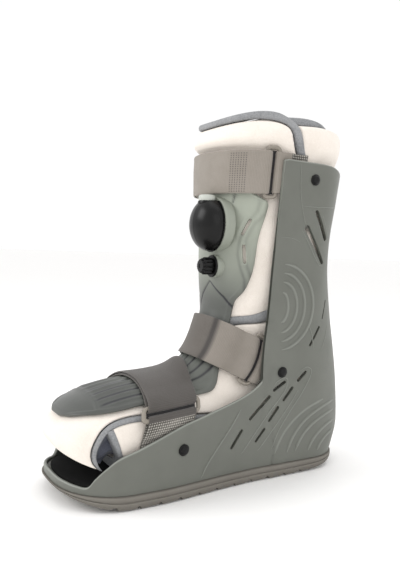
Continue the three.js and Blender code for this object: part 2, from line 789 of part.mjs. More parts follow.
// Side view prism that opens the sock over the instep and toes
function instepCutter() {
  const outline = new THREE.Shape();
  const points = [
    [0.15, 0.5],
    [0.18, 0.42],
    [0.25, 0.32],
    [0.45, 0.255],
    [0.62, 0.225],
    [0.76, 0.2],
    [0.86, 0.165],
    [1.1, 0.12],
    [1.1, 0.5],
  ];
  points.forEach(([fore, height], i) => {
    const x = fore * toeReach;
    const y = height * rimHeight;
    if (i === 0) {
      outline.moveTo(x, y);
    } else {
      outline.lineTo(x, y);
    }
  });
  outline.closePath();
  const depth = 4 * ballHalfWidth;
  const geometry = new THREE.ExtrudeGeometry(outline, { depth, bevelEnabled: false });
  geometry.translate(0, 0, -depth / 2);
  geometry.rotateX(Math.PI / 2);
  geometry.rotateZ(-Math.PI / 2);
  return geometry;
}

// Binding strip beside an edge of a layer; the path gives station and turn of its two long sides
function binding(steps, sides, inner, outer) {
  const at = (along, across, out) => {
    const [a, b] = sides(along);
    return over(mix(a[0], b[0], across), mix(a[1], b[1], across), out);
  };
  return between(
    steps,
    1,
    (along, across) => at(along, across, outer),
    (along, across) => at(along, across, inner),
    false,
  );
}

// Point on the sock where a strap's plane, moved across by offset, meets it at a turn
function planePoint(strap, turn, out, offset) {
  const lean = (strap.tilt * Math.PI) / 180;
  const measure = (station) => {
    const point = over(station, turn, out);
    return point.y * Math.sin(lean) + point.z * Math.cos(lean);
  };
  const target = strap.level + offset;
  let low = strap.from;
  let high = strap.to;
  const falling = measure(low) > measure(high);
  for (let i = 0; i < 30; i += 1) {
    const middle = (low + high) / 2;
    if (measure(middle) > target === falling) {
      low = middle;
    } else {
      high = middle;
    }
  }
  return over((low + high) / 2, turn, out);
}

const strapRuns = new Map();

// Lengths along a strap's middle line, from the front, at even steps of turn
function runsOf(strap) {
  if (!strapRuns.has(strap.name)) {
    const half = [0];
    let last = planePoint(strap, 0, plateInner, 0);
    for (let turn = turnStep; turn < 1.5; turn += turnStep) {
      const point = planePoint(strap, turn, plateInner, 0);
      half.push(half[half.length - 1] + point.distanceTo(last));
      last = point;
    }
    strapRuns.set(strap.name, half);
  }
  return strapRuns.get(strap.name);
}

function runAt(strap, turn) {
  const runs = runsOf(strap);
  const i = Math.min(Math.floor(Math.abs(turn) / turnStep), runs.length - 2);
  return Math.sign(turn) * mix(runs[i], runs[i + 1], Math.abs(turn) / turnStep - i);
}

function turnAt(strap, run) {
  const runs = runsOf(strap);
  const size = Math.abs(run);
  let i = 0;
  while (i < runs.length - 2 && size > runs[i + 1]) {
    i += 1;
  }
  return Math.sign(run) * turnStep * (i + (size - runs[i]) / (runs[i + 1] - runs[i]));
}

// Point in a strap's own frame: run along the strap in mm, distance out from the sock, and
// offset across the strap's width
function strapPoint(strap, run, out, offset) {
  return planePoint(strap, turnAt(strap, run), out, offset);
}

// Band swept along a path of run and out pairs, at the strap's width
function band(strap, path, thickness, width) {
  const normal = (i) => {
    const a = path[Math.max(i - 1, 0)];
    const b = path[Math.min(i + 1, path.length - 1)];
    const length = Math.hypot(b[0] - a[0], b[1] - a[1]);
    return [-(b[1] - a[1]) / length, (b[0] - a[0]) / length];
  };
  const face = (sign) => (along, across) => {
    const i = Math.round(along * (path.length - 1));
    const [nx, ny] = normal(i);
    const shift = (sign * thickness) / 2;
    const offset = mix(-width / 2, width / 2, across);
    return strapPoint(strap, path[i][0] + nx * shift, path[i][1] + ny * shift, offset);
  };
  return between(path.length - 1, 2, face(1), face(-1), false);
}

// Half turn round a bar, from one side of it to the other
function fold(run, out, radius, from, to) {
  const points = [];
  const steps = 6;
  for (let i = 0; i <= steps; i += 1) {
    const angle = (mix(from, to, i / steps) * Math.PI) / 180;
    points.push([run + radius * Math.cos(angle), out + radius * Math.sin(angle)]);
  }
  return points;
}

// Height of a strap's middle over the sock along its run: over the plate it lies higher
function strapOut(strap, run) {
  const under = plateInner + strapThickness / 2;
  const raised = plateOuter + 1.3 * layerGap + strapThickness / 2;
  const clear = runAt(strap, strap.plate) + 1.5;
  const share = Math.min(Math.max((Math.abs(run) - clear) / strapRamp, 0), 1);
  return mix(raised, under, share);
}

function barFrame(strap) {
  const run = runAt(strap, strap.ring);
  const radius = ringWire / 2 + foldGap + strapThickness / 2;
  return { run, radius, out: strapOut(strap, run) + radius };
}

// Strap from inside the far side of the shell, over the front, round its ring and back
function buildStrap(strap) {
  const bar = barFrame(strap);
  const start = -runAt(strap, strapTuck);
  const count = Math.ceil((bar.run - start) / strapStep);
  const path = [];
  for (let i = 0; i < count; i += 1) {
    const run = mix(start, bar.run, i / count);
    path.push([run, strapOut(strap, run)]);
  }
  path.push(...fold(bar.run, bar.out, bar.radius, -90, 90));
  const end = -runAt(strap, strap.plate) * strap.lap;
  const back = Math.ceil((bar.run - end) / strapStep);
  const lie = strapThickness + foldGap;
  for (let i = 1; i <= back; i += 1) {
    const run = mix(bar.run, end, i / back);
    const drop = Math.min((bar.run - run) / returnRamp, 1);
    path.push([run, mix(bar.out + bar.radius, strapOut(strap, run) + lie, drop)]);
  }
  return band(strap, path, strapThickness, strap.width);
}

// Wire ring: a rounded rectangle lying over the sock, one long bar for the strap and one for the webbing
function buildRing(strap) {
  const { run: bar, out: barOut } = barFrame(strap);
  const corner = ringCorner;
  const long = strap.width / 2 + layerGap + ringWire / 2;
  const centres = [];
  const quarter = 3;
  const corners = [
    [bar + ringSpread - corner, long - corner, 0],
    [bar + corner, long - corner, 90],
    [bar + corner, -long + corner, 180],
    [bar + ringSpread - corner, -long + corner, 270],
  ];
  for (const [run, offset, start] of corners) {
    for (let i = 0; i <= quarter; i += 1) {
      const angle = ((start + (90 * i) / quarter) * Math.PI) / 180;
      centres.push([run + corner * Math.cos(angle), offset + corner * Math.sin(angle), angle]);
    }
    if (start === 90 || start === 270) {
      const angle = ((start + 90) * Math.PI) / 180;
      centres.push([run + corner * Math.cos(angle), 0, angle]);
    }
  }
  const sides = 6;
  const points = [];
  const faces = [];
  for (const [run, offset, angle] of centres) {
    for (let j = 0; j < sides; j += 1) {
      const around = (j / sides) * 2 * Math.PI;
      const away = (ringWire / 2) * Math.cos(around);
      const lift = (ringWire / 2) * Math.sin(around);
      const along = run + away * Math.cos(angle);
      points.push(strapPoint(strap, along, barOut + lift, offset + away * Math.sin(angle)));
    }
  }
  for (let i = 0; i < centres.length; i += 1) {
    for (let j = 0; j < sides; j += 1) {
      const next = (i + 1) % centres.length;
      const turn = (j + 1) % sides;
      faces.push([i * sides + j, next * sides + j, next * sides + turn, i * sides + turn]);
    }
  }
  return solidFrom(points, faces);
}

// Webbing folded round the ring's lower bar, both ends tucked inside the shell
function buildWebbing(strap) {
  const half = webbingThickness / 2;
  const radius = ringWire / 2 + foldGap + half;
  const { run, out } = barFrame(strap);
  const bar = run + ringSpread;
  const low = plateInner + half;
  const high = low + webbingThickness + foldGap;
  const path = [];
  const count = 4;
  for (let i = 0; i < count; i += 1) {
    const along = i / count;
    const inner = mix(low, Math.max(out - radius, low), along ** 3);
    path.push([bar + webbingTuck * (1 - along), inner]);
  }
  path.push(...fold(bar, out, radius, 270, 90));
  for (let i = 1; i <= count; i += 1) {
    const along = i / count;
    const outer = mix(out + radius, high, Math.min(1, along * 1.6));
    path.push([bar + webbingTuck * along, outer]);
  }
  return band(strap, path, webbingThickness, strap.width - 2 * webbingMargin);
}

// Solid core of the sock out to a distance, between two stations
function core(from, to, out) {
  const rings = 8;
  const sides = 24;
  const points = [];
  const faces = [];
  for (let i = 0; i <= rings; i += 1) {
    for (let j = 0; j < sides; j += 1) {
      points.push(over(mix(from, to, i / rings), mix(-2, 2, j / sides), out));
    }
  }
  for (let i = 0; i < rings; i += 1) {
    for (let j = 0; j < sides; j += 1) {
      const next = (j + 1) % sides;
      faces.push([i * sides + j, i * sides + next, (i + 1) * sides + next, (i + 1) * sides + j]);
    }
  }
  const around = [...Array(sides).keys()];
  faces.push([...around].reverse());
  faces.push(around.map((j) => rings * sides + j));
  return solidFrom(points, faces);
}

// Body turned round an axis that points out of the plate, from pairs of radius and distance
function turned(profile, segments, side, fore, height) {
  const points = profile.map(([radius, along]) => new THREE.Vector2(radius, along));
  const geometry = new THREE.LatheGeometry(points, segments);
  geometry.rotateX(Math.PI);
  geometry.translate(side, -fore, height);
  return geometry;
}

// Slot cutter across the plate between two places on it
function plateCutter(stationA, turnA, stationB, turnB) {
  const middle = (plateInner + plateOuter) / 2;
  const a = over(stationA, turnA, middle);
  const b = over(stationB, turnB, middle);
  const centre = a.clone().add(b).multiplyScalar(0.5);
  const along = b.clone().sub(a);
  const length = along.length();
  along.normalize();
  const s = (stationA + stationB) / 2;
  const t = (turnA + turnB) / 2;
  const across = over(s, t + 0.02, middle).sub(over(s, t - 0.02, middle)).normalize();
  const up = over(s - 0.1, t, middle).sub(over(s + 0.1, t, middle)).normalize();
  const out = across.clone().cross(up).normalize();
  const beside = out.clone().cross(along).normalize();
  const box = new THREE.BoxGeometry(length, plateVent, 6 * plateThickness);
  const basis = new THREE.Matrix4().makeBasis(along, beside, out);
  box.applyMatrix4(basis);
  box.translate(centre.x, centre.y, centre.z);
  return box;
}

// Front plate bent over the shin, instep and toes, with round bosses for the bulb and the valve
function buildPlate() {
  const first = plateEdge[0].station;
  const last = plateEdge[plateEdge.length - 1].station;
  const edge = (station) => edgeTurn(plateEdge, station);
  const body = layer(() => first, () => last, 28, 8, edge, plateInner, plateOuter);
  const bosses = [
    [collarRadius, pumpFace, bulbHeight],
    [valveRadius, valveFace, knobHeight],
  ].map(([radius, face, height]) => {
    const boss = new THREE.CylinderGeometry(radius, radius - bossTaper, face, 16);
    boss.translate(pumpSide, -face / 2, height);
    return boss;
  });
  const inside = core(2, 8, plateInner);
  const trimmed = bosses.map((boss) => cut(boss, [inside]));
  const vents = plateVents.flatMap(({ stationA, turnA, stationB, turnB }) => [
    plateCutter(stationA, turnA, stationB, turnB),
    plateCutter(stationA, -turnA, stationB, -turnB),
  ]);
  return cut(join([body, ...trimmed]), vents);
}

// Pump bulb: an upright egg with a flat back on the boss and a flat top under its valve
function buildBulb() {
  const egg = new THREE.SphereGeometry(1, 16, 10);
  egg.scale(bulbRadius, bulbDepth, bulbRadius * bulbTall);
  egg.translate(pumpSide, -pumpFace - bulbStand, bulbHeight);
  const size = 4 * bulbRadius;
  const back = new THREE.BoxGeometry(size, size, size);
  back.translate(pumpSide, -pumpFace - foldGap + size / 2, bulbHeight);
  const top = new THREE.BoxGeometry(size, size, size);
  top.translate(pumpSide, -pumpFace, bulbTop + size / 2);
  return cut(egg, [back, top]);
}

// Round cap on the flat top of the bulb
function buildCap() {
  const cap = new THREE.CylinderGeometry(capRadius, capRadius, capLength, 16);
  cap.rotateX(Math.PI / 2);
  const middle = -pumpFace - capRadius - layerGap;
  cap.translate(pumpSide, middle, bulbTop + foldGap + capLength / 2);
  return cap;
}

// Stem that the release knob turns on
function buildStem() {
  const length = knobLength - foldGap;
  const profile = [
    [0, 0],
    [stemRadius, 0],
    [stemRadius, length],
    [0, length],
  ];
  return turned(profile, 12, pumpSide, valveFace + foldGap, knobHeight);
}

// Release knob with a blind bore over its stem
function buildKnob() {
  const bore = stemRadius + foldGap;
  const profile = [
    [0, knobLength],
    [bore, knobLength],
    [bore, 0],
    [knobRadius, 0],
    [knobRadius, knobLength],
    [knobRadius * 0.85, knobLength + knobTop],
    [0, knobLength + knobTop],
  ];
  return turned(profile, 16, pumpSide, valveFace + 2 * foldGap, knobHeight);
}

// Rivet with a domed head on the shell's side
function buildRivet(rivet, sign) {
  const fore = rivet.fore * toeReach;
  const height = rivet.height * shellHeight;
  const at = (df, dh) => {
    const [side, reach] = shellSpot(fore + df, height + dh, 0);
    return place(side * sign, reach, height + dh);
  };
  const centre = at(0, 0);
  const along = at(3, 0).sub(at(-3, 0));
  const up = at(0, 3).sub(at(0, -3));
  const out = along.cross(up).normalize();
  if (out.x * sign < 0) {
    out.negate();
  }
  const profile = [
    [0, 0],
    [rivetRadius, 0],
    [rivetRadius * 0.95, rivetHeight * 0.45],
    [rivetRadius * 0.62, rivetHeight * 0.88],
    [0, rivetHeight],
  ].map(([radius, rise]) => new THREE.Vector2(radius, rise));
  const geometry = new THREE.LatheGeometry(profile, 10);
  geometry.applyQuaternion(new THREE.Quaternion().setFromUnitVectors(new THREE.Vector3(0, 1, 0), out));
  centre.addScaledVector(out, foldGap);
  geometry.translate(centre.x, centre.y, centre.z);
  return geometry;
}

// Strip of binding round the calf flap's two side edges and its top
function buildFlapBinding() {
  const seam = layerGap / turnLength;
  const broad = bindingWidth / turnLength;
  const rows = [];
  const steps = 10;
  for (let i = 0; i <= steps; i += 1) {
    const station = mix(hemStation(1), 0, i / steps);
    rows.push([station, flapTurn(station) + seam, station, flapTurn(station) + seam + broad]);
  }
  const corner = flapTurn(0) + seam;
  rows.push([-rimSeam, corner, -rimSeam - rimBand, corner + broad]);
  const across = 14;
  for (let i = 1; i < across; i += 1) {
    const turn = mix(corner, -corner, i / across);
    rows.push([-rimSeam, turn, -rimSeam - rimBand, turn]);
  }
  rows.push([-rimSeam, -corner, -rimSeam - rimBand, -corner - broad]);
  for (let i = steps; i >= 0; i -= 1) {
    const station = mix(hemStation(1), 0, i / steps);
    rows.push([station, -flapTurn(station) - seam, station, -flapTurn(station) - seam - broad]);
  }
  const sides = (along) => {
    const row = rows[Math.round(along * (rows.length - 1))];
    return [
      [row[0], row[1]],
      [row[2], row[3]],
    ];
  };
  return binding(rows.length - 1, sides, layerGap, flapOuter);
}

// Strip of binding along one side edge of the toe flap
function buildToeBinding(sign) {
  const seam = (1.4 * layerGap) / turnLength;
  const broad = bindingWidth / turnLength;
  const sides = (along) => {
    const station = mix(13, vampEnd, along);
    const turn = flapTurn(station) + seam;
    return [
      [station, sign * turn],
      [station, sign * (turn + broad)],
    ];
  };
  return binding(16, sides, layerGap, flapOuter);
}

// Hem under the calf flap
function buildHem() {
  const sides = (along) => {
    const share = mix(-1, 1, along);
    const turn = share * flapTurn(hemStation(share));
    return [
      [hemStation(share) + rimSeam, turn],
      [vampStation(share) - rimSeam, turn],
    ];
  };
  return binding(16, sides, layerGap, flapOuter);
}

// Ring of binding on the sock's upper rim
function buildRimBinding() {
  const columns = 28;
  const at = (along, across, out) => {
    return over(mix(-rimSeam - rimBand, -rimSeam, along), mix(-2, 2, across), out);
  };
  return between(
    1,
    columns,
    (along, across) => at(along, across, 0),
    (along, across) => at(along, across, -sockWall),
    true,
  );
}

add("shell", buildShell(), "shell");
add("outsole", buildSole(), "sole");
add("insole", buildInsole(), "insole");
add("liner_sock", cut(buildSock(), [instepCutter()]), "sock");
add("calf_flap", layer(() => 0, hemStation, 11, 14, flapTurn, layerGap, flapOuter), "sock");
add("toe_flap", layer(vampStation, () => vampEnd, 15, 10, flapTurn, layerGap, flapOuter), "sock");
add("binding_calf_flap", buildFlapBinding(), "binding");
add("binding_calf_hem", buildHem(), "binding");
add("binding_sock_rim", buildRimBinding(), "binding");
add("binding_toe_flap_near", buildToeBinding(1), "binding");
add("binding_toe_flap_far", buildToeBinding(-1), "binding");
add("front_plate", buildPlate(), "plate");
add("pump_bulb", buildBulb(), "black");
add("bulb_valve", buildCap(), "valve");
add("valve_stem", buildStem(), "black");
add("release_knob", buildKnob(), "black");
for (const strap of straps) {
  add(`strap_${strap.name}`, buildStrap(strap), "strap");
  add(`ring_${strap.name}`, buildRing(strap), "ring");
  add(`webbing_${strap.name}`, buildWebbing(strap), "strap");
}
for (const rivet of rivets) {
  add(`rivet_${rivet.strap}_near`, buildRivet(rivet, 1), "black");
  add(`rivet_${rivet.strap}_far`, buildRivet(rivet, -1), "black");
}

// The origin is on the ground under the middle of the boot's box
const box = new THREE.Box3().setFromObject(boot);
const middle = box.getCenter(new THREE.Vector3());
boot.position.set(-middle.x, -middle.y, -box.min.z);

export default boot;
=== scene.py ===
"""Medical walking boot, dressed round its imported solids.

A rigid moulded shell on a rocker sole carries a padded sock with a calf flap and a toe flap, a bent
front plate with a hand pump, and three straps through wire rings. Lengths are in millimetres of the
boot's own frame (side, fore from the ankle, height) until world() turns them into scene metres.
"""
import logging
import math
from dataclasses import dataclass, field
from enum import Enum
from functools import partial
from typing import Callable, Sequence

import bmesh
import bpy
import numpy as np
from mathutils import Matrix, Quaternion, Vector
from mathutils.kdtree import KDTree

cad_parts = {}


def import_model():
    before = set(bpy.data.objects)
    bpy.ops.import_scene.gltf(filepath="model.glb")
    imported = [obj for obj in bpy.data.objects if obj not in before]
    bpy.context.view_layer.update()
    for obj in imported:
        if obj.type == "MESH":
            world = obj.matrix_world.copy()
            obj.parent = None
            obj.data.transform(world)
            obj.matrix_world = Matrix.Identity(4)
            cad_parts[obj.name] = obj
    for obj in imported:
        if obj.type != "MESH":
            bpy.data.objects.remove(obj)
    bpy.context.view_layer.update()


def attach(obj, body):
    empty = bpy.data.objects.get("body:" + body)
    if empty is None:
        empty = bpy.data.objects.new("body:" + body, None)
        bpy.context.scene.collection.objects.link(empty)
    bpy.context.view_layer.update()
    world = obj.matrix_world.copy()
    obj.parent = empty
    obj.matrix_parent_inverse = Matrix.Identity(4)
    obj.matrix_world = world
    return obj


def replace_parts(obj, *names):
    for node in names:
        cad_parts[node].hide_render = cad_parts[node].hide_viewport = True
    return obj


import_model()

LOG = logging.getLogger("walking_boot")
MM = 0.001
FORE_SHIFT = 56.80775
Grid = np.ndarray
Line = Sequence[tuple[float, float]]
FORWARD = Vector((0, -1, 0))
UPWARD = Vector((0, 0, 1))
SIDES = (("near", 1), ("far", -1))


def world(side: Grid, fore: Grid, height: Grid) -> Grid:
    """Turns boot coordinates in millimetres into scene metres."""
    side, fore, height = np.broadcast_arrays(side, fore, height)
    return np.stack([side, FORE_SHIFT - fore, height], axis=-1) * MM


def smooth_step(low: float, high: float, value: Grid) -> Grid:
    """Rises smoothly from 0 at low to 1 at high."""
    share = np.clip((np.asarray(value, float) - low) / (high - low), 0, 1)
    return share * share * (3 - 2 * share)


def signed_power(value: Grid, exponent: Grid) -> Grid:
    """Power of the size that keeps the sign."""
    return np.sign(value) * np.abs(value) ** exponent


def bell(distance: Grid, width: float) -> Grid:
    """Smooth bump: 1 at no distance, fading over a width."""
    return np.exp(-((distance / width) ** 2))


def line_distance(x: Grid, y: Grid, line: Line) -> Grid:
    """Distance from points to a polyline in a plane.

    Args:
        x: first coordinate of the points.
        y: second coordinate of the points.
        line: corners of the polyline.

    Returns:
        The shortest distance of each point.
    """
    best = np.full(np.shape(x), 1e9)
    for (ax, ay), (bx, by) in zip(line, line[1:]):
        dx, dy = bx - ax, by - ay
        t = np.clip(((x - ax) * dx + (y - ay) * dy) / (dx * dx + dy * dy), 0, 1)
        best = np.minimum(best, np.hypot(x - ax - t * dx, y - ay - t * dy))
    return best


@dataclass(frozen=True)
class Curve:
    """Smooth cubic curve through a short table of places and values."""

    places: tuple[float, ...]
    values: tuple[float, ...]

    def __call__(self, at: Grid) -> Grid:
        """Value of the curve, held at its ends.

        Args:
            at: places to look up.

        Returns:
            The values there.
        """
        x, y = np.asarray(self.places, float), np.asarray(self.values, float)
        at = np.asarray(at, float)
        before = np.maximum(np.arange(len(x)) - 1, 0)
        after = np.minimum(np.arange(len(x)) + 1, len(x) - 1)
        slope = (y[after] - y[before]) / (x[after] - x[before])
        i = np.clip(np.searchsorted(x, at, side="left") - 1, 0, len(x) - 2)
        span = x[i + 1] - x[i]
        t = np.clip((at - x[i]) / span, 0, 1)
        rise = y[i + 1] - y[i]
        bend = t * (1 - t) * ((1 - t) * (slope[i] * span - rise) - t * (slope[i + 1] * span - rise))
        return y[i] + rise * t + bend


def fine_line(line: Line, step: float) -> Grid:
    """Smooth path through the corners of a line at even steps.

    Args:
        line: corners to pass through.
        step: distance between the new points.

    Returns:
        Array of points, two columns.
    """
    corners = np.asarray(line, float)
    run = np.concatenate([[0], np.cumsum(np.hypot(*np.diff(corners, axis=0).T))])
    at = np.linspace(0, run[-1], max(3, int(run[-1] / step) + 1))
    curves = [Curve(tuple(run), tuple(corners[:, k])) for k in (0, 1)]
    return np.stack([curve(at) for curve in curves], axis=1)


@dataclass(frozen=True)
class Bump:
    """Raised or sunk line: its height, or its share of painted shade, and its width."""

    rise: float
    width: float

    def at(self, distance: Grid) -> Grid:
        """Height at a distance from the line's middle."""
        return self.rise * bell(distance, self.width)


# ------------------------------------------------------------------ finishes
# Colour of the dark share: painted shade on the plate, its seats, the toe strap and the rings' slots, and also the
# straps' darker cloth and stitches.
DARK_CODE = "26262a"


class Pattern(Enum):
    """Surface pattern of a finish."""

    MOULDED = "moulded"
    LOOP = "loop"
    KNIT = "knit"
    RIB = "rib"
    WEBBING = "webbing"
    RUBBER = "rubber"
    GROUND = "ground"


def srgb(code: str) -> tuple[float, float, float, float]:
    """Linear colour with alpha from a six digit code."""
    parts = [int(code[i : i + 2], 16) / 255 for i in (0, 2, 4)]
    linear = [c / 12.92 if c <= 0.04045 else ((c + 0.055) / 1.055) ** 2.4 for c in parts]
    return (*linear, 1.0)


@dataclass(frozen=True)
class Finish:
    """One material: colours, gloss and the relief of its pattern."""

    name: str
    slot: str
    pattern: Pattern
    colour: str
    # shade: second colour, in random patches, and the painted shade in the valleys of a cloth pattern.
    shade: str
    # worn_and_highlight: lighter colour, for wear and for painted highlight on edges, crests and rims.
    worn_and_highlight: str
    roughness: float
    grain: float = 1.0
    depth: float = 0.3
    sheen: float = 0.0
    gloss: float = 0.5

    def material(self) -> bpy.types.Material:
        """Builds the node material, once for each finish.

        Returns:
            The finished material.
        """
        known = bpy.data.materials.get(self.name)
        if known:
            return known
        made = bpy.data.materials.new(self.name)
        made.use_nodes = True
        Painter(made, self).paint()
        return made


class Painter:
    """Lays the nodes of one finish into its material."""

    patch_size = 28.0
    patch_contrast = 1.3
    patch_share = 0.4
    valley_level = 0.62
    valley_contrast = 0.7
    webbing_contrast = 1.4
    rough_swing = 0.25
    bump_strength = 0.6
    soft_gloss = 0.2

    def __init__(self, made: bpy.types.Material, finish: Finish) -> None:
        """Keeps the node tree and the finish.

        Args:
            made: material to paint.
            finish: what it looks like.
        """
        self.tree = made.node_tree
        self.finish = finish
        self.shader = self.tree.nodes["Principled BSDF"]
        self.space = self.tree.nodes.new("ShaderNodeTexCoord")

    def node(self, kind: str, **values: object) -> bpy.types.Node:
        """Adds a node and sets its properties or its inputs.

        Args:
            kind: node type without its Shader prefix.
            values: property or input names and their values.

        Returns:
            The new node.
        """
        made = self.tree.nodes.new("ShaderNode" + kind)
        for key, value in values.items():
            if hasattr(made, key):
                setattr(made, key, value)
            else:
                made.inputs[key.replace("_", " ")].default_value = value
        return made

    def link(self, source: bpy.types.NodeSocket, target: bpy.types.NodeSocket) -> None:
        """Joins two sockets."""
        self.tree.links.new(source, target)

    def maths(self, operation: str, first: object, second: object = 0.0) -> bpy.types.NodeSocket:
        """Adds a maths node on sockets or numbers.

        Args:
            operation: name of the operation.
            first: first socket or number.
            second: second socket or number.

        Returns:
            Its output.
        """
        made = self.tree.nodes.new("ShaderNodeMath")
        made.operation = operation
        for index, value in enumerate((first, second)):
            if isinstance(value, bpy.types.NodeSocket):
                self.link(value, made.inputs[index])
            else:
                made.inputs[index].default_value = float(value)
        return made.outputs[0]

    def attribute(self, name: str) -> bpy.types.NodeSocket:
        """Reads a number that the mesh holds at its points."""
        made = self.tree.nodes.new("ShaderNodeAttribute")
        made.attribute_name = name
        return made.outputs["Fac"]

    def noise(self, size: float, detail: float = 3.0) -> bpy.types.NodeSocket:
        """Noise over the object."""
        made = self.node("TexNoise", Scale=1 / (size * MM), Detail=detail, Roughness=0.55)
        self.link(self.space.outputs["Object"], made.inputs["Vector"])
        return made.outputs["Fac"]

    def cells(self, size: float) -> bpy.types.NodeSocket:
        """Round cells over the object, 0 at their middles, of a size in millimetres."""
        made = self.node("TexVoronoi", Scale=1 / (size * MM), Randomness=0.8)
        self.link(self.space.outputs["Object"], made.inputs["Vector"])
        return made.outputs["Distance"]

    def threads(self, along: float, across: float) -> bpy.types.NodeSocket:
        """Crossing rows of threads on the mesh's own run and width.

        Args:
            along: thread pitch along the run in millimetres.
            across: thread pitch across the width in millimetres.

        Returns:
            Height of the weave, 0 to 1.
        """
        split = self.node("SeparateXYZ")
        self.link(self.space.outputs["UV"], split.inputs[0])
        turn = 2 * math.pi
        waves = []
        for socket, pitch in ((split.outputs["X"], along), (split.outputs["Y"], across)):
            wave = self.maths("SINE", self.maths("MULTIPLY", socket, turn / (pitch * MM)))
            waves.append(self.maths("ADD", self.maths("MULTIPLY", wave, 0.5), 0.5))
        return self.maths("MULTIPLY", *waves)

    def mix(self, share: object, first: object, second: object) -> bpy.types.NodeSocket:
        """Mixes two colours.

        Args:
            share: socket or number of the second colour's share.
            first: colour or socket at 0.
            second: colour or socket at 1.

        Returns:
            The mixed colour.
        """
        made = self.tree.nodes.new("ShaderNodeMix")
        made.data_type = "RGBA"
        for socket, value in zip((made.inputs[0], made.inputs[6], made.inputs[7]), (share, first, second)):
            if isinstance(value, bpy.types.NodeSocket):
                self.link(value, socket)
            else:
                socket.default_value = value
        return made.outputs[2]

    def pattern(self) -> bpy.types.NodeSocket:
        """Height of the finish's pattern, about 0 to 1."""
        grain = self.finish.grain
        kind = self.finish.pattern
        if kind is Pattern.LOOP:
            return self.maths("ADD", self.maths("MULTIPLY", self.cells(grain), 0.6), self.noise(grain * 2.5, 5))
        if kind is Pattern.KNIT:
            return self.maths("SUBTRACT", 1.0, self.cells(grain))
        if kind is Pattern.RIB:
            return self.maths("ADD", self.threads(grain, grain * 0.8), self.maths("MULTIPLY", self.noise(grain), 0.6))
        if kind is Pattern.WEBBING:
            return self.maths("ADD", self.threads(grain, grain), self.maths("MULTIPLY", self.noise(grain * 0.6), 0.5))
        if kind is Pattern.GROUND:
            return self.noise(60, 2)
        return self.noise(grain, 4)

    def paint(self) -> None:
        """Lays colour with its painted shade and highlight, roughness, relief and sheen."""
        finish = self.finish
        height = self.pattern()
        patches = self.noise(self.patch_size, 4)
        uneven = self.maths("SUBTRACT", patches, 0.5)
        soft = finish.pattern in (Pattern.LOOP, Pattern.KNIT, Pattern.RIB, Pattern.WEBBING)
        share = self.maths("MULTIPLY_ADD", uneven, self.patch_contrast)
        share.node.inputs[2].default_value = self.patch_share
        if soft:
            strength = self.webbing_contrast if finish.pattern is Pattern.WEBBING else self.valley_contrast
            # Painted shade in the valleys of the cloth's pattern.
            valley = self.maths("MULTIPLY", self.maths("SUBTRACT", self.valley_level, height), strength)
            share = self.maths("ADD", share, valley)
        share.node.use_clamp = True
        colour = self.mix(share, srgb(finish.colour), srgb(finish.shade))
        # Lighter colour: wear, and painted highlight on rims, crests and tape tops.
        colour = self.mix(self.attribute("wear"), colour, srgb(finish.worn_and_highlight))
        # Dark colour: mostly painted shade, also darker strap cloth and stitches.
        colour = self.mix(self.attribute("dark"), colour, srgb(DARK_CODE))
        self.link(colour, self.shader.inputs["Base Color"])
        rough = self.maths("MULTIPLY_ADD", uneven, self.rough_swing)
        rough.node.inputs[2].default_value = finish.roughness
        self.link(rough, self.shader.inputs["Roughness"])
        bump = self.node("Bump", Strength=self.bump_strength, Distance=finish.depth * MM)
        self.link(height, bump.inputs["Height"])
        self.link(bump.outputs[0], self.shader.inputs["Normal"])
        if finish.sheen:
            self.shader.inputs["Sheen Weight"].default_value = finish.sheen
            self.shader.inputs["Sheen Roughness"].default_value = 0.5
        self.shader.inputs["Specular IOR Level"].default_value = self.soft_gloss if soft else finish.gloss


SHELL = Finish(
    "moulded_shell_grey_green", "shell_plastic", Pattern.MOULDED, "686a63", "5f615a", "8c8f88",
    roughness=0.48, grain=0.9, depth=0.06,
)
PLATE = Finish(
    "moulded_plate_light_green", "plate_plastic", Pattern.MOULDED, "a1a699", "91968a", "bcc1b4",
    roughness=0.4, grain=0.9, depth=0.05,
)
SOLE = Finish(
    "sole_rubber_warm_grey", "sole_rubber", Pattern.RUBBER, "706c65", "625e57", "86827a",
    roughness=0.78, grain=0.8, depth=0.12,
)
INSOLE = Finish(
    "insole_black_cloth", "insole_foam", Pattern.KNIT, "191918", "0f0f0f", "242423",
    roughness=0.9, grain=0.9, depth=0.15,
)
LINER = Finish(
    "liner_brushed_loop", "liner_fabric", Pattern.LOOP, "efe7de", "e1d7cc", "f3ede6",
    roughness=0.95, grain=0.8, depth=0.4, sheen=0.25,
)
LINING = Finish(
    "lining_grey_cloth", "binding_fabric", Pattern.LOOP, "70737f", "555763", "8b8fa3",
    roughness=0.95, grain=0.8, depth=0.3, sheen=0.3,
)
BINDING = Finish(
    "binding_knit_tape", "binding_fabric", Pattern.KNIT, "97989a", "5e6063", "b4b5b6",
    roughness=0.95, grain=1.5, depth=0.4, sheen=0.15,
)
STRAP = Finish(
    "strap_brushed_taupe", "strap_fabric", Pattern.RIB, "99928a", "817a71", "ada69d",
    roughness=0.92, grain=1.2, depth=0.25, sheen=0.2,
)
WEBBING = Finish(
    "webbing_speckled", "webbing_fabric", Pattern.WEBBING, "b3afa8", "4a4843", "85817a",
    roughness=0.92, grain=2.0, depth=0.5, sheen=0.1,
)
RING = Finish(
    "ring_taupe_plastic", "ring_plastic", Pattern.MOULDED, "8f887e", "7f786e", "aca69c",
    roughness=0.45, grain=0.8, depth=0.05,
)
BULB = Finish(
    "bulb_black_rubber", "bulb_rubber", Pattern.RUBBER, "0f0f0f", "080808", "1c1c1c",
    roughness=0.3, grain=0.7, depth=0.03, gloss=0.24,
)
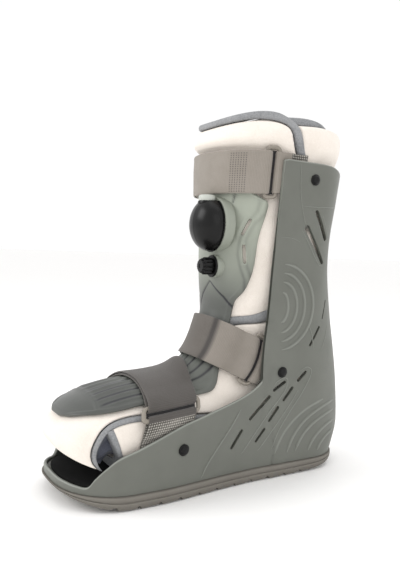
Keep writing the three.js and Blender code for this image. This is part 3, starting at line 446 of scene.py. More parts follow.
CAP = Finish(
    "valve_light_grey", "valve_plastic", Pattern.MOULDED, "bfc2bb", "aaaea6", "d4d6d0",
    roughness=0.4, grain=0.8, depth=0.04,
)
BLACK = Finish(
    "moulded_black", "black_plastic", Pattern.MOULDED, "121212", "090909", "2a2a2a",
    roughness=0.34, grain=0.7, depth=0.05, gloss=0.22,
)
FLOOR = Finish(
    "studio_floor", "", Pattern.GROUND, "fefdfc", "fbfaf9", "fefdfc",
    roughness=0.85, grain=60.0, depth=0.0,
)


# ------------------------------------------------------------------ meshes
@dataclass
class Surface:
    """Points and faces of one piece, gathered grid by grid."""

    points: list[Grid] = field(default_factory=list)
    faces: list[Grid] = field(default_factory=list)
    runs: list[Grid] = field(default_factory=list)
    wears: list[Grid] = field(default_factory=list)
    darks: list[Grid] = field(default_factory=list)
    looks: list[Grid] = field(default_factory=list)
    frees: list[Grid] = field(default_factory=list)
    count: int = 0

    def grid(
        self,
        points: Grid,
        runs: Grid | None = None,
        wear: Grid | float = 0.0,
        dark: Grid | float = 0.0,
        free: Grid | float = 0.0,
        look: int = 0,
        loop: bool = False,
        flip: bool = False,
        caps: bool = False,
    ) -> None:
        """Adds a grid of quads.

        Args:
            points: scene points, rows by columns by three.
            runs: length along and across in metres for the weave.
            wear: share of the lighter colour, for wear and for painted highlight.
            dark: share of the dark colour, for painted shade and for darker cloth.
            free: share by which the cloth may move.
            look: index of the material.
            loop: whether the last column joins the first.
            flip: whether the faces are turned round.
            caps: whether the first and last rows get a face each.
        """
        rows, columns = points.shape[:2]
        index = np.arange(rows * columns).reshape(rows, columns) + self.count
        if loop:
            index = np.concatenate([index, index[:, :1]], axis=1)
        quads = np.stack([index[:-1, :-1], index[1:, :-1], index[1:, 1:], index[:-1, 1:]], axis=-1).reshape(-1, 4)
        self.faces += [(quads[:, ::-1] if flip else quads).tolist()]
        if caps:
            ring = index[:, :columns]
            self.faces += [[ring[0, ::-1].tolist() if flip else ring[0].tolist()]]
            self.faces += [[ring[-1].tolist() if flip else ring[-1, ::-1].tolist()]]
        made = sum(len(part) for part in self.faces) - sum(len(part) for part in self.looks)
        self.looks.append(np.full(made, look))
        self.points.append(points.reshape(-1, 3))
        self.runs.append(np.zeros((rows * columns, 2)) if runs is None else runs.reshape(-1, 2))
        for store, value in ((self.wears, wear), (self.darks, dark), (self.frees, free)):
            store.append(np.broadcast_to(np.asarray(value, float), (rows, columns)).reshape(-1))
        self.count += rows * columns

    def build(
        self, name: str, finishes: Sequence[Finish], body: str = "boot", sharp: float = 40.0
    ) -> bpy.types.Object:
        """Makes the object, merges shared points and turns the faces outwards.

        Args:
            name: piece name.
            finishes: finishes by material index.
            body: CAD body that it rides on.
            sharp: angle in degrees over which an edge stays sharp.

        Returns:
            The finished object.
        """
        mesh = bpy.data.meshes.new(name)
        mesh.from_pydata(np.concatenate(self.points).tolist(), [], [face for part in self.faces for face in part])
        mesh.polygons.foreach_set("material_index", np.concatenate(self.looks).astype(int))
        runs = np.concatenate(self.runs)
        corners = np.zeros(len(mesh.loops), int)
        mesh.loops.foreach_get("vertex_index", corners)
        layer = mesh.uv_layers.new(name="UVMap")
        layer.data.foreach_set("uv", runs[corners].reshape(-1))
        for key, store in (("wear", self.wears), ("dark", self.darks), ("free", self.frees)):
            mesh.attributes.new(key, "FLOAT", "POINT").data.foreach_set("value", np.concatenate(store))
        work = bmesh.new()
        work.from_mesh(mesh)
        bmesh.ops.remove_doubles(work, verts=work.verts, dist=2e-6)
        bmesh.ops.dissolve_degenerate(work, edges=work.edges, dist=1e-7)
        bmesh.ops.recalc_face_normals(work, faces=work.faces)
        work.to_mesh(mesh)
        work.free()
        return dress(bpy.data.objects.new(name, mesh), finishes, body, sharp)


def dress(made: bpy.types.Object, finishes: Sequence[Finish], body: str, sharp: float) -> bpy.types.Object:
    """Links an object, gives it its materials and puts it on its body.

    Args:
        made: new mesh object.
        finishes: finishes by material index.
        body: CAD body that it rides on.
        sharp: angle in degrees over which an edge stays sharp.

    Returns:
        The same object.
    """
    bpy.context.scene.collection.objects.link(made)
    for finish in finishes:
        made.data.materials.append(finish.material())
    made.data.polygons.foreach_set("use_smooth", np.ones(len(made.data.polygons), bool))
    made.data.set_sharp_from_angle(angle=math.radians(sharp))
    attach(made, body)
    LOG.info("%s: %d faces", made.name, len(made.data.polygons))
    return made


def carve(made: bpy.types.Object, cutters: Sequence[bpy.types.Object]) -> None:
    """Cuts solids out of a piece and removes them.

    Args:
        made: piece to cut.
        cutters: solids, which are deleted afterwards.
    """
    for cutter in cutters:
        change = made.modifiers.new("carve", "BOOLEAN")
        change.operation, change.solver, change.object = "DIFFERENCE", "MANIFOLD", cutter
    bpy.context.view_layer.update()
    shaped = bpy.data.meshes.new_from_object(made.evaluated_get(bpy.context.evaluated_depsgraph_get()))
    made.modifiers.clear()
    made.data = shaped
    for cutter in cutters:
        bpy.data.objects.remove(cutter)


def coordinates_of(mesh: bpy.types.Mesh) -> Grid:
    """Vertex coordinates of a mesh, one row each."""
    flat = np.zeros(3 * len(mesh.vertices))
    mesh.vertices.foreach_get("co", flat)
    return flat.reshape(-1, 3)


def nearest(points: Grid, wanted: Grid, count: int) -> tuple[Grid, Grid]:
    """Closest points of a cloud.

    Args:
        points: the cloud.
        wanted: places to look from.
        count: number of points for each place.

    Returns:
        Their indices and distances.
    """
    tree = KDTree(len(points))
    for index, point in enumerate(points):
        tree.insert(point, index)
    tree.balance()
    found = [[(index, distance) for _, index, distance in tree.find_n(place, count)] for place in wanted]
    table = np.array(found)
    return table[..., 0].astype(int), table[..., 1]


def loose_solid(name: str, points: Sequence, faces: Sequence[Sequence[int]]) -> bpy.types.Object:
    """Plain closed solid with its faces turned outwards, to cut with.

    Args:
        name: object name.
        points: scene points.
        faces: corners of each face.

    Returns:
        The linked object.
    """
    mesh = bpy.data.meshes.new(name)
    mesh.from_pydata(points, [], faces)
    work = bmesh.new()
    work.from_mesh(mesh)
    bmesh.ops.recalc_face_normals(work, faces=work.faces)
    work.to_mesh(mesh)
    work.free()
    made = bpy.data.objects.new(name, mesh)
    bpy.context.scene.collection.objects.link(made)
    return made


@dataclass(frozen=True)
class Padding:
    """Short cloth simulation that swells a padded piece where it is free."""

    cell: float
    most: float
    pressure: float = 4.0
    frames: int = 20
    stiffness: float = 5.0
    enlarged: float = 14.0
    mass: float = 0.3
    damping: float = 5.0
    bending: float = 1.0
    neighbours: int = 4

    def rough_copy(self, made: bpy.types.Object) -> bpy.types.Object:
        """Coarse even copy of a piece, enlarged to the size that cloth is tuned for.

        Args:
            made: padded piece.

        Returns:
            The linked copy.
        """
        rough = bpy.data.objects.new("padding_copy", made.data.copy())
        bpy.context.scene.collection.objects.link(rough)
        change = rough.modifiers.new("even", "REMESH")
        change.mode, change.voxel_size = "VOXEL", self.cell * MM
        bpy.context.view_layer.update()
        even = bpy.data.meshes.new_from_object(rough.evaluated_get(bpy.context.evaluated_depsgraph_get()))
        rough.modifiers.clear()
        rough.data = even
        even.transform(Matrix.Scale(self.enlarged, 4))
        return rough

    def swell(self, made: bpy.types.Object) -> None:
        """Runs the simulation on a coarse copy and moves the piece with it.

        Args:
            made: padded piece with the share "free" at its points.
        """
        fine = coordinates_of(made.data)
        free = np.zeros(len(fine))
        made.data.attributes["free"].data.foreach_get("value", free)
        rough = self.rough_copy(made)
        start = coordinates_of(rough.data) / self.enlarged
        held = 1 - free[nearest(fine, start, 1)[0][:, 0]]
        group = rough.vertex_groups.new(name="held")
        for index, weight in enumerate(held):
            group.add([index], float(weight), "REPLACE")
        cloth = rough.modifiers.new("cloth", "CLOTH")
        settings = cloth.settings
        settings.mass, settings.air_damping = self.mass, self.damping
        settings.tension_stiffness = settings.compression_stiffness = self.stiffness
        settings.shear_stiffness, settings.bending_stiffness = self.stiffness / 2, self.bending
        settings.use_pressure, settings.uniform_pressure_force = True, self.pressure
        settings.vertex_group_mass = "held"
        settings.effector_weights.gravity = 0.0
        cloth.point_cache.frame_end = self.frames
        for frame_number in range(1, self.frames + 1):
            bpy.context.scene.frame_set(frame_number)
        end = coordinates_of(rough.evaluated_get(bpy.context.evaluated_depsgraph_get()).to_mesh())
        bpy.context.scene.frame_set(1)
        moves = end / self.enlarged - start
        length = np.linalg.norm(moves, axis=1, keepdims=True).clip(1e-9)
        moves *= np.minimum(length, self.most * MM) / length
        index, away = nearest(start, fine, self.neighbours)
        weight = 1 / (away + self.cell * MM / 4)
        weight /= weight.sum(axis=1, keepdims=True)
        fine += (moves[index] * weight[..., None]).sum(axis=1) * free[:, None]
        made.data.vertices.foreach_set("co", fine.reshape(-1))
        made.data.update()
        LOG.info("%s: swelled up to %.1f mm on %d points", made.name, float(length.max()) / MM, len(start))
        bpy.data.objects.remove(rough)


def clustered(count: int, rim: float) -> Grid:
    """Shares from 0 to 1 that crowd together at both ends."""
    close = rim * np.array([0, 0.04, 0.14, 0.32, 0.58])
    return np.concatenate([close, np.linspace(rim, 1 - rim, count + 1), 1 - close[::-1]])


def roundness(share: Grid, rim: float) -> Grid:
    """Thickness share across a rounded edge.

    Args:
        share: place between the edges, 0 to 1.
        rim: share over which each edge is rounded.

    Returns:
        0 at the edges, 1 inside.
    """
    if rim <= 0:
        return np.ones_like(share)
    near = np.clip(np.minimum(share, 1 - share) / rim, 0, 1)
    return np.sqrt(np.maximum(1 - (1 - near) ** 2, 0))


Place = Callable[[Grid, Grid, Grid], Grid]
Value = Callable[[Grid, Grid], Grid]


@dataclass
class Pillow:
    """Closed padded layer with round edges over a pair of shares."""

    place: Place
    inner: float
    outer: float
    rows: int
    columns: int
    row_rim: float
    column_rim: float
    length: float
    width: float
    puff: Value | None = None
    dark: Value | None = None
    free: Value | None = None

    def build(self, name: str, finishes: Sequence[Finish], sharp: float = 40.0) -> bpy.types.Object:
        """Makes the layer's piece.

        Args:
            name: piece name.
            finishes: finishes of its outer and of its inner face.
            sharp: angle in degrees over which an edge stays sharp.

        Returns:
            The piece.
        """
        rows = clustered(self.rows, self.row_rim)
        columns = clustered(self.columns, self.column_rim)
        along, across = np.meshgrid(rows, columns, indexing="ij")
        full = roundness(along, self.row_rim) * roundness(across, self.column_rim)
        middle, half = (self.inner + self.outer) / 2, (self.outer - self.inner) / 2
        swell = self.puff(along, across) * full if self.puff else 0.0
        runs = np.stack([along * self.length * MM, across * self.width * MM], axis=-1)
        # Lighter round edges: wear and painted highlight.
        wear = (1 - full) ** 3
        dark = self.dark(along, across) if self.dark else 0.0
        free = self.free(along, across) * full**3 if self.free else 0.0
        surface = Surface()
        surface.grid(self.place(along, across, middle + half * full + swell), runs, wear, dark, free)
        look = len(finishes) - 1
        surface.grid(self.place(along, across, middle - half * full), runs, wear, dark, look=look, flip=True)
        return surface.build(name, finishes, sharp=sharp)


def turned(
    name: str,
    finish: Finish,
    profile: Line,
    origin: Sequence[float],
    axis: Vector,
    segments: int = 48,
    flutes: int = 0,
    flute: float = 0.0,
    dark: float = 0.0,
    body: str = "boot",
    sharp: float = 40.0,
) -> bpy.types.Object:
    """Makes a piece turned round an axis.

    Args:
        name: piece name.
        finish: its finish.
        profile: pairs of radius and distance along the axis, from the axis to the axis.
        origin: boot coordinates of the axis's start.
        axis: direction of the axis in the scene.
        segments: steps round the axis.
        flutes: number of grooves round it.
        flute: depth of the grooves as a share of the radius.
        dark: share of the dark colour.
        body: CAD body that it rides on.
        sharp: angle in degrees over which an edge stays sharp.

    Returns:
        The piece.
    """
    shape = np.asarray(profile, float)
    angle = np.linspace(0, 2 * math.pi, segments, endpoint=False)
    wave = 1 - flute * (0.5 + 0.5 * np.cos(flutes * angle)) ** 0.5 if flutes else np.ones_like(angle)
    axis = axis.normalized()
    first = axis.orthogonal().normalized()
    second = axis.cross(first)
    deep = shape[:, :1] * np.where(shape[:, :1] > 0.6 * shape[:, 0].max(), wave, 1.0)
    base = world(*(np.asarray(v, float) for v in origin))
    points = (
        base
        + MM * (deep * np.cos(angle))[..., None] * np.asarray(first)
        + MM * (deep * np.sin(angle))[..., None] * np.asarray(second)
        + MM * np.broadcast_to(shape[:, 1:], deep.shape)[..., None] * np.asarray(axis)
    )
    surface = Surface()
    surface.grid(points, dark=dark, loop=True)
    return surface.build(name, [finish], body, sharp)


# ------------------------------------------------------------------ forms
@dataclass(frozen=True)
class ShellForm:
    """Plan of the rigid shell at every height."""

    toe_reach: float = 203.0
    heel_reach: float = 84.0
    ball_half: float = 55.0
    flare: float = 18.5
    height: float = 286.0
    sole: float = 12.0
    seat: float = 0.35
    spring: float = 3.0
    straight: float = 0.74
    outline: Curve = Curve((-0.2, 0, 0.15, 0.3, 0.44, 0.59, 0.74), (0.745, 0.764, 0.78, 0.836, 0.91, 0.982, 1))
    levels: tuple[float, ...] = (0.045, 0.1, 0.14, 0.28, 0.4, 0.53, 0.665, 0.77, 0.89, 1)
    flares: tuple[float, ...] = (0.05, 0.15, 0.2, 0.34, 0.45, 0.53, 0.6, 0.71, 0.87, 1)
    centres: tuple[float, ...] = (0.48, 0.46, 0.42, 0.32, 0.24, 0.24, 0.24, 0.24, 0.24, 0.24)
    reaches: tuple[float, ...] = (0.5, 0.59, 0.67, 0.73, 0.735, 0.62, 0.53, 0.525, 0.59, 0.645)
    edge: tuple[tuple[float, float, float], ...] = (
        (1, 0.076, 1), (0.985, 0.074, 0.985), (0.955, 0.07, 0.955), (0.92, 0.069, 0.92), (0.895, 0.094, 0.89),
        (0.86, 0.122, 0.85), (0.8, 0.154, 0.79), (0.68, 0.185, 0.68), (0.55, 0.22, 0.56), (0.42, 0.243, 0.44),
        (0.25, 0.276, 0.34), (0.159, 0.308, 0.28), (0.101, 0.353, 0.24), (0.069, 0.402, 0.205),
        (0.062, 0.458, 0.175), (0.084, 0.57, 0.148), (0.103, 0.69, 0.122), (0.106, 0.82, 0.096),
        (0.104, 0.978, 0.07), (0.092, 0.999, 0.04), (0.02, 1, 0.01), (-0.16, 0.997, -0.16), (-0.33, 0.99, -0.33),
        (-0.5, 0.981, -0.5), (-0.67, 0.971, -0.67), (-0.84, 0.962, -0.84), (-1, 0.958, -1),
    )

    def half(self, fore: Grid, height: Grid) -> Grid:
        """Half width at a fore distance and a height."""
        flare = self.flare * Curve(self.levels, self.flares)(height / self.height)
        return self.ball_half * self.outline(fore / self.toe_reach) + flare

    def centre(self, height: Grid) -> Grid:
        """Fore distance of the middle of the round heel."""
        return -self.heel_reach * Curve(self.levels, self.centres)(height / self.height)

    def depth(self, height: Grid) -> Grid:
        """Reach of the round heel behind its middle."""
        return self.heel_reach * Curve(self.levels, self.reaches)(height / self.height)

    def plan(self, share: Grid, height: Grid, inset: Grid) -> tuple[Grid, Grid]:
        """Outline at a height: 1 is the toe's tip, 0 the ankle, -1 the middle of the back.

        Args:
            share: place along the outline.
            height: height over the ground.
            inset: distance inwards from the outside.

        Returns:
            Side and fore distances.
        """
        share, height, inset = np.broadcast_arrays(*(np.asarray(v, float) for v in (share, height, inset)))
        centre, start = self.centre(height), self.straight * self.toe_reach
        turn = np.clip(-share, 0, 1) * math.pi / 2
        back_side = (self.half(centre, height) - inset) * np.cos(turn)
        back_fore = centre - (self.depth(height) - inset) * np.sin(turn)
        fore = centre + (start - centre) * np.clip(share / self.straight, 0, 1)
        side = self.half(fore, height) - inset
        tip = np.clip((share - self.straight) / (1 - self.straight), 0, 1) * math.pi / 2
        tip_side = (self.half(np.full_like(share, start), height) - inset) * np.abs(np.cos(tip)) ** (2 / 2.8)
        tip_fore = start + (self.toe_reach - start - inset) * np.sin(tip)
        masks = [share < 0, share <= self.straight]
        return np.select(masks, [back_side, side], tip_side), np.select(masks, [back_fore, fore], tip_fore)

    def share_at(self, fore: Grid, height: Grid) -> Grid:
        """Outline share at which the shell reaches a fore distance.

        Args:
            fore: fore distance.
            height: height over the ground.

        Returns:
            The share, down to -1 at the middle of the back.
        """
        fore, height = np.broadcast_arrays(np.asarray(fore, float), np.asarray(height, float))
        start, centre = self.straight * self.toe_reach, self.centre(height)
        ahead = np.clip((fore - start) / (self.toe_reach - start), 0, 1)
        tip = self.straight + (1 - self.straight) * np.arcsin(ahead) / (math.pi / 2)
        back = np.clip((centre - fore) / self.depth(height), 0, 1)
        middle = self.straight * (fore - centre) / (start - centre)
        return np.select([fore > start, fore >= centre], [tip, middle], -np.arcsin(back) / (math.pi / 2))

    def lift(self, fore: Grid) -> Grid:
        """Rise of the sole's top towards the tip of the toe."""
        start = self.straight * self.toe_reach
        return self.spring * np.clip((fore - start) / (self.toe_reach - start), 0, None) ** 2

    def edge_share(self, column: int) -> Curve:
        """Outline share along the edge table.

        Args:
            column: 0 for the edge itself, 2 for the foot of the wall under it.

        Returns:
            The share by row of the table.
        """
        values = []
        for row in self.edge:
            height = row[1] * self.height if column == 0 else self.sole
            share = row[column]
            values.append(share if share < 0 else float(self.share_at(share * self.toe_reach, height)))
        return Curve(tuple(range(len(self.edge))), tuple(values))

    def wall(self, along: Grid, drop: Grid, down: Grid, inset: Grid) -> tuple[Grid, Grid, Grid]:
        """Point of the shell's wall below its edge.

        Args:
            along: place along the edge, 0 at the back and 1 at the toe.
            drop: distance under the edge of the first row.
            down: share of the way from there to the floor.
            inset: distance inwards from the outside.

        Returns:
            Side, fore and height.
        """
        row = (1 - along) * (len(self.edge) - 1)
        top = self.height * Curve(tuple(range(len(self.edge))), tuple(r[1] for r in self.edge))(row)
        edge, foot = self.edge_share(0)(row), self.edge_share(2)(row)
        standing = self.plan(foot, self.sole, 0)[1]
        ground = self.sole + self.seat + self.lift(standing) + inset
        height = (top - drop) + (ground - top + drop) * down
        side, fore = self.plan(edge + (foot - edge) * down, height, inset)
        return np.maximum(side, 0), fore, height


@dataclass(frozen=True)
class SockForm:
    """Tube of the sock from its rim down the leg, round the heel and out to the toes."""

    shell: ShellForm = ShellForm()
    rim: float = 325.0
    inset: float = 13.5
    floor: float = 25.3
    arch: float = 7.0
    rise: float = 10.0
    front: tuple[float, ...] = (
        0.288, 0.297, 0.258, 0.256, 0.254, 0.253, 0.252, 0.25, 0.248, 0.252, 0.279, 0.321,
        0.378, 0.43, 0.49, 0.56, 0.63, 0.7, 0.77, 0.84, 0.908, 0.963, 0.982, 0.97,
    )
    top: tuple[float, ...] = (
        0.967, 0.93, 0.902, 0.85, 0.77, 0.677, 0.585, 0.529, 0.486, 0.452, 0.398, 0.34,
        0.304, 0.287, 0.276, 0.267, 0.26, 0.253, 0.244, 0.233, 0.216, 0.186, 0.155, 0.125,
    )
    back: tuple[float, ...] = (
        0.016, -0.018, -0.002, 0, 0, 0, 0, 0, 0, 0, 0, 0.045,
        0.13, 0.237, 0.362, 0.487, 0.602, 0.702, 0.781, 0.82, 0.83, 0.838, 0.845, 0.85,
    )
    low: tuple[float, ...] = (1.135, 1.09, 0.99, 0.92, 0.83, 0.74, 0.655, 0.525, 0.385, 0.25, 0.14, *([0.0] * 13))
    half: tuple[float, ...] = (0.97, 1.1, *([1.0] * 11), *([0.97] * 6), 0.98, 0.95, 0.92, 0.9, 0.88)
    crown: tuple[float, ...] = (*([2.2] * 21), 2.3, 2.4, 2.4)
    base: tuple[float, ...] = (*([2.2] * 11), 2.3, 2.5, 2.8, *([3.0] * 5), 2.6, 2.2, 2.2, 2.2, 2.2)
    edge: Curve = Curve(
        (-1, 0, 1.5, 3, 6, 10, 13, 15, 17, 19, 21, 23),
        (0.84, 0.87, 0.92, 1.04, 1.09, 1.06, 0.95, 0.8, 0.66, 0.64, 0.84, 1.04),
    )

    def pick(self, column: tuple[float, ...], station: Grid) -> Grid:
        """Value of one column of the sections at a station."""
        return Curve(tuple(range(len(column))), column)(np.clip(station, 0, len(column) - 1))

    def over(self, station: Grid, turn: Grid, out: Grid) -> Grid:
        """Point over the sock.

        Args:
            station: place along it, counted in sections.
            turn: place round it, 0 in front, 1 at the outer side, 2 behind.
            out: distance from its surface.

        Returns:
            Scene points.
        """
        station, turn, out = np.broadcast_arrays(*(np.asarray(v, float) for v in (station, turn, out)))
        shell = self.shell
        low = np.maximum(self.pick(self.low, station) * shell.height, self.floor)
        wall = shell.centre(low) - shell.depth(low) + self.inset
        back = wall + (shell.toe_reach - wall) * self.pick(self.back, station)
        front = self.pick(self.front, station) * shell.toe_reach
        top = self.pick(self.top, station) * self.rim
        room = shell.half((front + back) / 2, np.minimum((top + low) / 2, shell.height)) - self.inset
        above = self.rise * np.maximum(-station, 0)
        top, low, half = top + above, low + above, room * self.pick(self.half, station)
        angle = np.abs(turn) * math.pi / 2
        length = np.hypot(front - back, top - low)
        ahead = np.cos(angle)
        exponent = 2 / np.where(ahead > 0, self.pick(self.crown, station), self.pick(self.base, station))
        reach = (length / 2 + out) * signed_power(ahead, exponent)
        side = np.sign(turn) * (half + out) * np.abs(np.sin(angle)) ** exponent
        arch = self.arch * np.clip(1 - station / 2, 0, None) * np.sin(angle).clip(0) ** 2
        fore = (front + back) / 2 + (front - back) / length * reach
        return world(side, fore, (top + low) / 2 + (top - low) / length * reach + arch)

    def flap_turn(self, station: Grid) -> Grid:
        """Turn of the flaps' side edges."""
        return self.edge(station) - 0.01


@dataclass(frozen=True)
class StrapForm:
    """Path of one strap, its ring and its webbing over the sock."""

    name: str
    tilt: float
    level: float
    width: float
    ring: float
    plate: float
    lap: float
    first: float
    last: float
    sock: SockForm = SockForm()
    thickness: float = 2.0
    webbing: float = 0.9
    wire: float = 3.4
    spread: float = 9.5
    under: float = 7.2
    over_plate: float = 9.7
    gap: float = 0.35
    tuck: float = 1.12
    webbing_tuck: float = 28.0
    plate_relief: float = 1.3
    step: float = 2.0
    settle: float = 18.0
    rise_steps: int = 14
    fold_steps: int = 13

    def plane_point(self, turn: Grid, out: Grid, offset: Grid) -> Grid:
        """Point where the strap's plane, moved across by offset, meets the sock.

        Args:
            turn: place round the sock.
            out: distance from its surface.
            offset: distance across the strap.

        Returns:
            Scene points.
        """
        turn, out, offset = np.broadcast_arrays(*(np.asarray(v, float) for v in (turn, out, offset)))
        lean = math.radians(self.tilt)

        def measure(station: Grid) -> Grid:
            """Distance along the plane's normal, with fore counted backwards."""
            point = self.sock.over(station, turn, out) / MM
            return (point[..., 1] - FORE_SHIFT) * math.sin(lean) + point[..., 2] * math.cos(lean)

        low, high = np.full(turn.shape, self.first), np.full(turn.shape, self.last)
        falling = measure(low) > measure(high)
        for _ in range(26):
            middle = (low + high) / 2
            before = (measure(middle) > self.level + offset) == falling
            low, high = np.where(before, middle, low), np.where(before, high, middle)
        return self.sock.over((low + high) / 2, turn, out)

    def turns(self) -> tuple[Grid, Grid]:
        """Turns from front to side and the lengths along the strap to them."""
        turn = np.arange(0, 1.5, 0.03)
        points = self.plane_point(turn, np.full_like(turn, self.under), np.zeros_like(turn)) / MM
        return turn, np.concatenate([[0], np.cumsum(np.linalg.norm(np.diff(points, axis=0), axis=1))])

    def run(self, turn: float) -> float:
        """Length along the strap from the front to a turn."""
        turns, runs = self.turns()
        return float(np.sign(turn) * np.interp(abs(turn), turns, runs))

    def point(self, run: Grid, out: Grid, offset: Grid) -> Grid:
        """Point of the strap's own frame.

        Args:
            run: length along the strap from the front.
            out: distance from the sock.
            offset: distance across the strap.

        Returns:
            Scene points.
        """
        turns, runs = self.turns()
        slope = (turns[-1] - turns[-2]) / (runs[-1] - runs[-2])
        size = np.abs(run)
        turn = np.interp(size, runs, turns) + np.maximum(size - runs[-1], 0) * slope
        return self.plane_point(np.sign(run) * turn, out, offset)

    def lie(self, run: Grid) -> Grid:
        """Height of the strap's middle over the sock.

        Args:
            run: length along the strap from the front.

        Returns:
            Height over the plate, or over the sock beside it.
        """
        under = self.under + self.thickness / 2
        raised = self.over_plate + self.plate_relief + self.thickness / 2
        clear = self.run(self.plate) + 1.5
        return raised + (under - raised) * smooth_step(clear - 1, clear + 9, np.abs(run))

    def bar(self) -> tuple[float, float, float]:
        """Run, radius of the fold and height of the ring's strap bar."""
        run = self.run(self.ring)
        radius = self.wire / 2 + self.gap + self.thickness / 2
        return run, radius, float(self.lie(np.asarray(run))) + radius

    def strap_path(self) -> tuple[Grid, int]:
        """Path of run and height pairs from the far side round the ring and back.

        Returns:
            The path and the index of the ring.
        """
        run, radius, out = self.bar()
        start, end = -self.run(self.tuck), -self.run(self.plate) * self.lap
        there = np.arange(start, run, self.step)
        fold = np.radians(np.linspace(-90, 90, self.fold_steps))
        back = np.arange(run, end, -self.step)[1:]
        drop = smooth_step(0, self.settle, run - back)
        rest = self.lie(back) + self.thickness + self.gap
        parts = [
            np.stack([there, self.lie(there)], 1),
            np.stack([run + radius * np.cos(fold), out + radius * np.sin(fold)], 1),
            np.stack([back, (out + radius) + (rest - out - radius) * drop], 1),
        ]
        return np.concatenate(parts), len(there)

    def webbing_path(self) -> Grid:
        """Path of the webbing round the ring's lower bar, both ends tucked into the shell.

        Returns:
            Run and height pairs.
        """
        run, _, out = self.bar()
        half = self.webbing / 2
        radius, bar = self.wire / 2 + self.gap + half, run + self.spread
        low = self.under + half
        along = np.linspace(0, 1, self.rise_steps + 1)[:-1]
        fold = np.radians(np.linspace(270, 90, self.fold_steps))
        rise = max(out - radius, low)
        away = 1 - along[:-1][::-1]
        above = low + self.webbing + self.gap
        parts = [
            np.stack([bar + self.webbing_tuck * (1 - along), low + (rise - low) * along**3], 1),
            np.stack([bar + radius * np.cos(fold), out + radius * np.sin(fold)], 1),
            np.stack([
                bar + self.webbing_tuck * away, np.interp(away, (0, 0.6, 1), (out + radius, above, above)),
            ], 1),
        ]
        return np.concatenate(parts)

    def band(
        self,
        surface: Surface,
        path: Grid,
        thickness: float,
        width: float,
        dark: Grid | float = 0.0,
        wear: float = 0.6,
    ) -> None:
        """Adds a flat band with round edges along a path.

        Args:
            surface: surface to add to.
            path: run and height pairs.
            thickness: thickness of the band.
            width: width of the band.
            dark: share of dark colour along the path and across it, for painted shade and darker cloth.
            wear: share of the lighter colour on its edges, for wear and painted highlight.
        """
        ahead = np.gradient(path, axis=0)
        ahead /= np.linalg.norm(ahead, axis=1, keepdims=True)
        normal = np.stack([-ahead[:, 1], ahead[:, 0]], 1)
        across = clustered(14, 0.05)
        place = np.arange(len(path))
        full = roundness(across, 0.05)[None, :] * np.minimum(1, np.minimum(place, place[::-1]))[:, None]
        run = np.concatenate([[0], np.cumsum(np.linalg.norm(np.diff(path, axis=0), axis=1))])
        offset = (across - 0.5) * width
        runs = np.stack(np.broadcast_arrays(run[:, None] * MM, offset[None, :] * MM), axis=-1)
        for sign in (1, -1):
            shift = sign * thickness / 2 * full
            moved = path[:, :, None] + normal[:, :, None] * shift[:, None, :]
            points = self.point(moved[:, 0], moved[:, 1], offset[None, :] + 0 * shift)
            # Lighter edges: wear and painted highlight.
            surface.grid(points, runs, wear * (1 - full) ** 2, dark, flip=sign < 0)


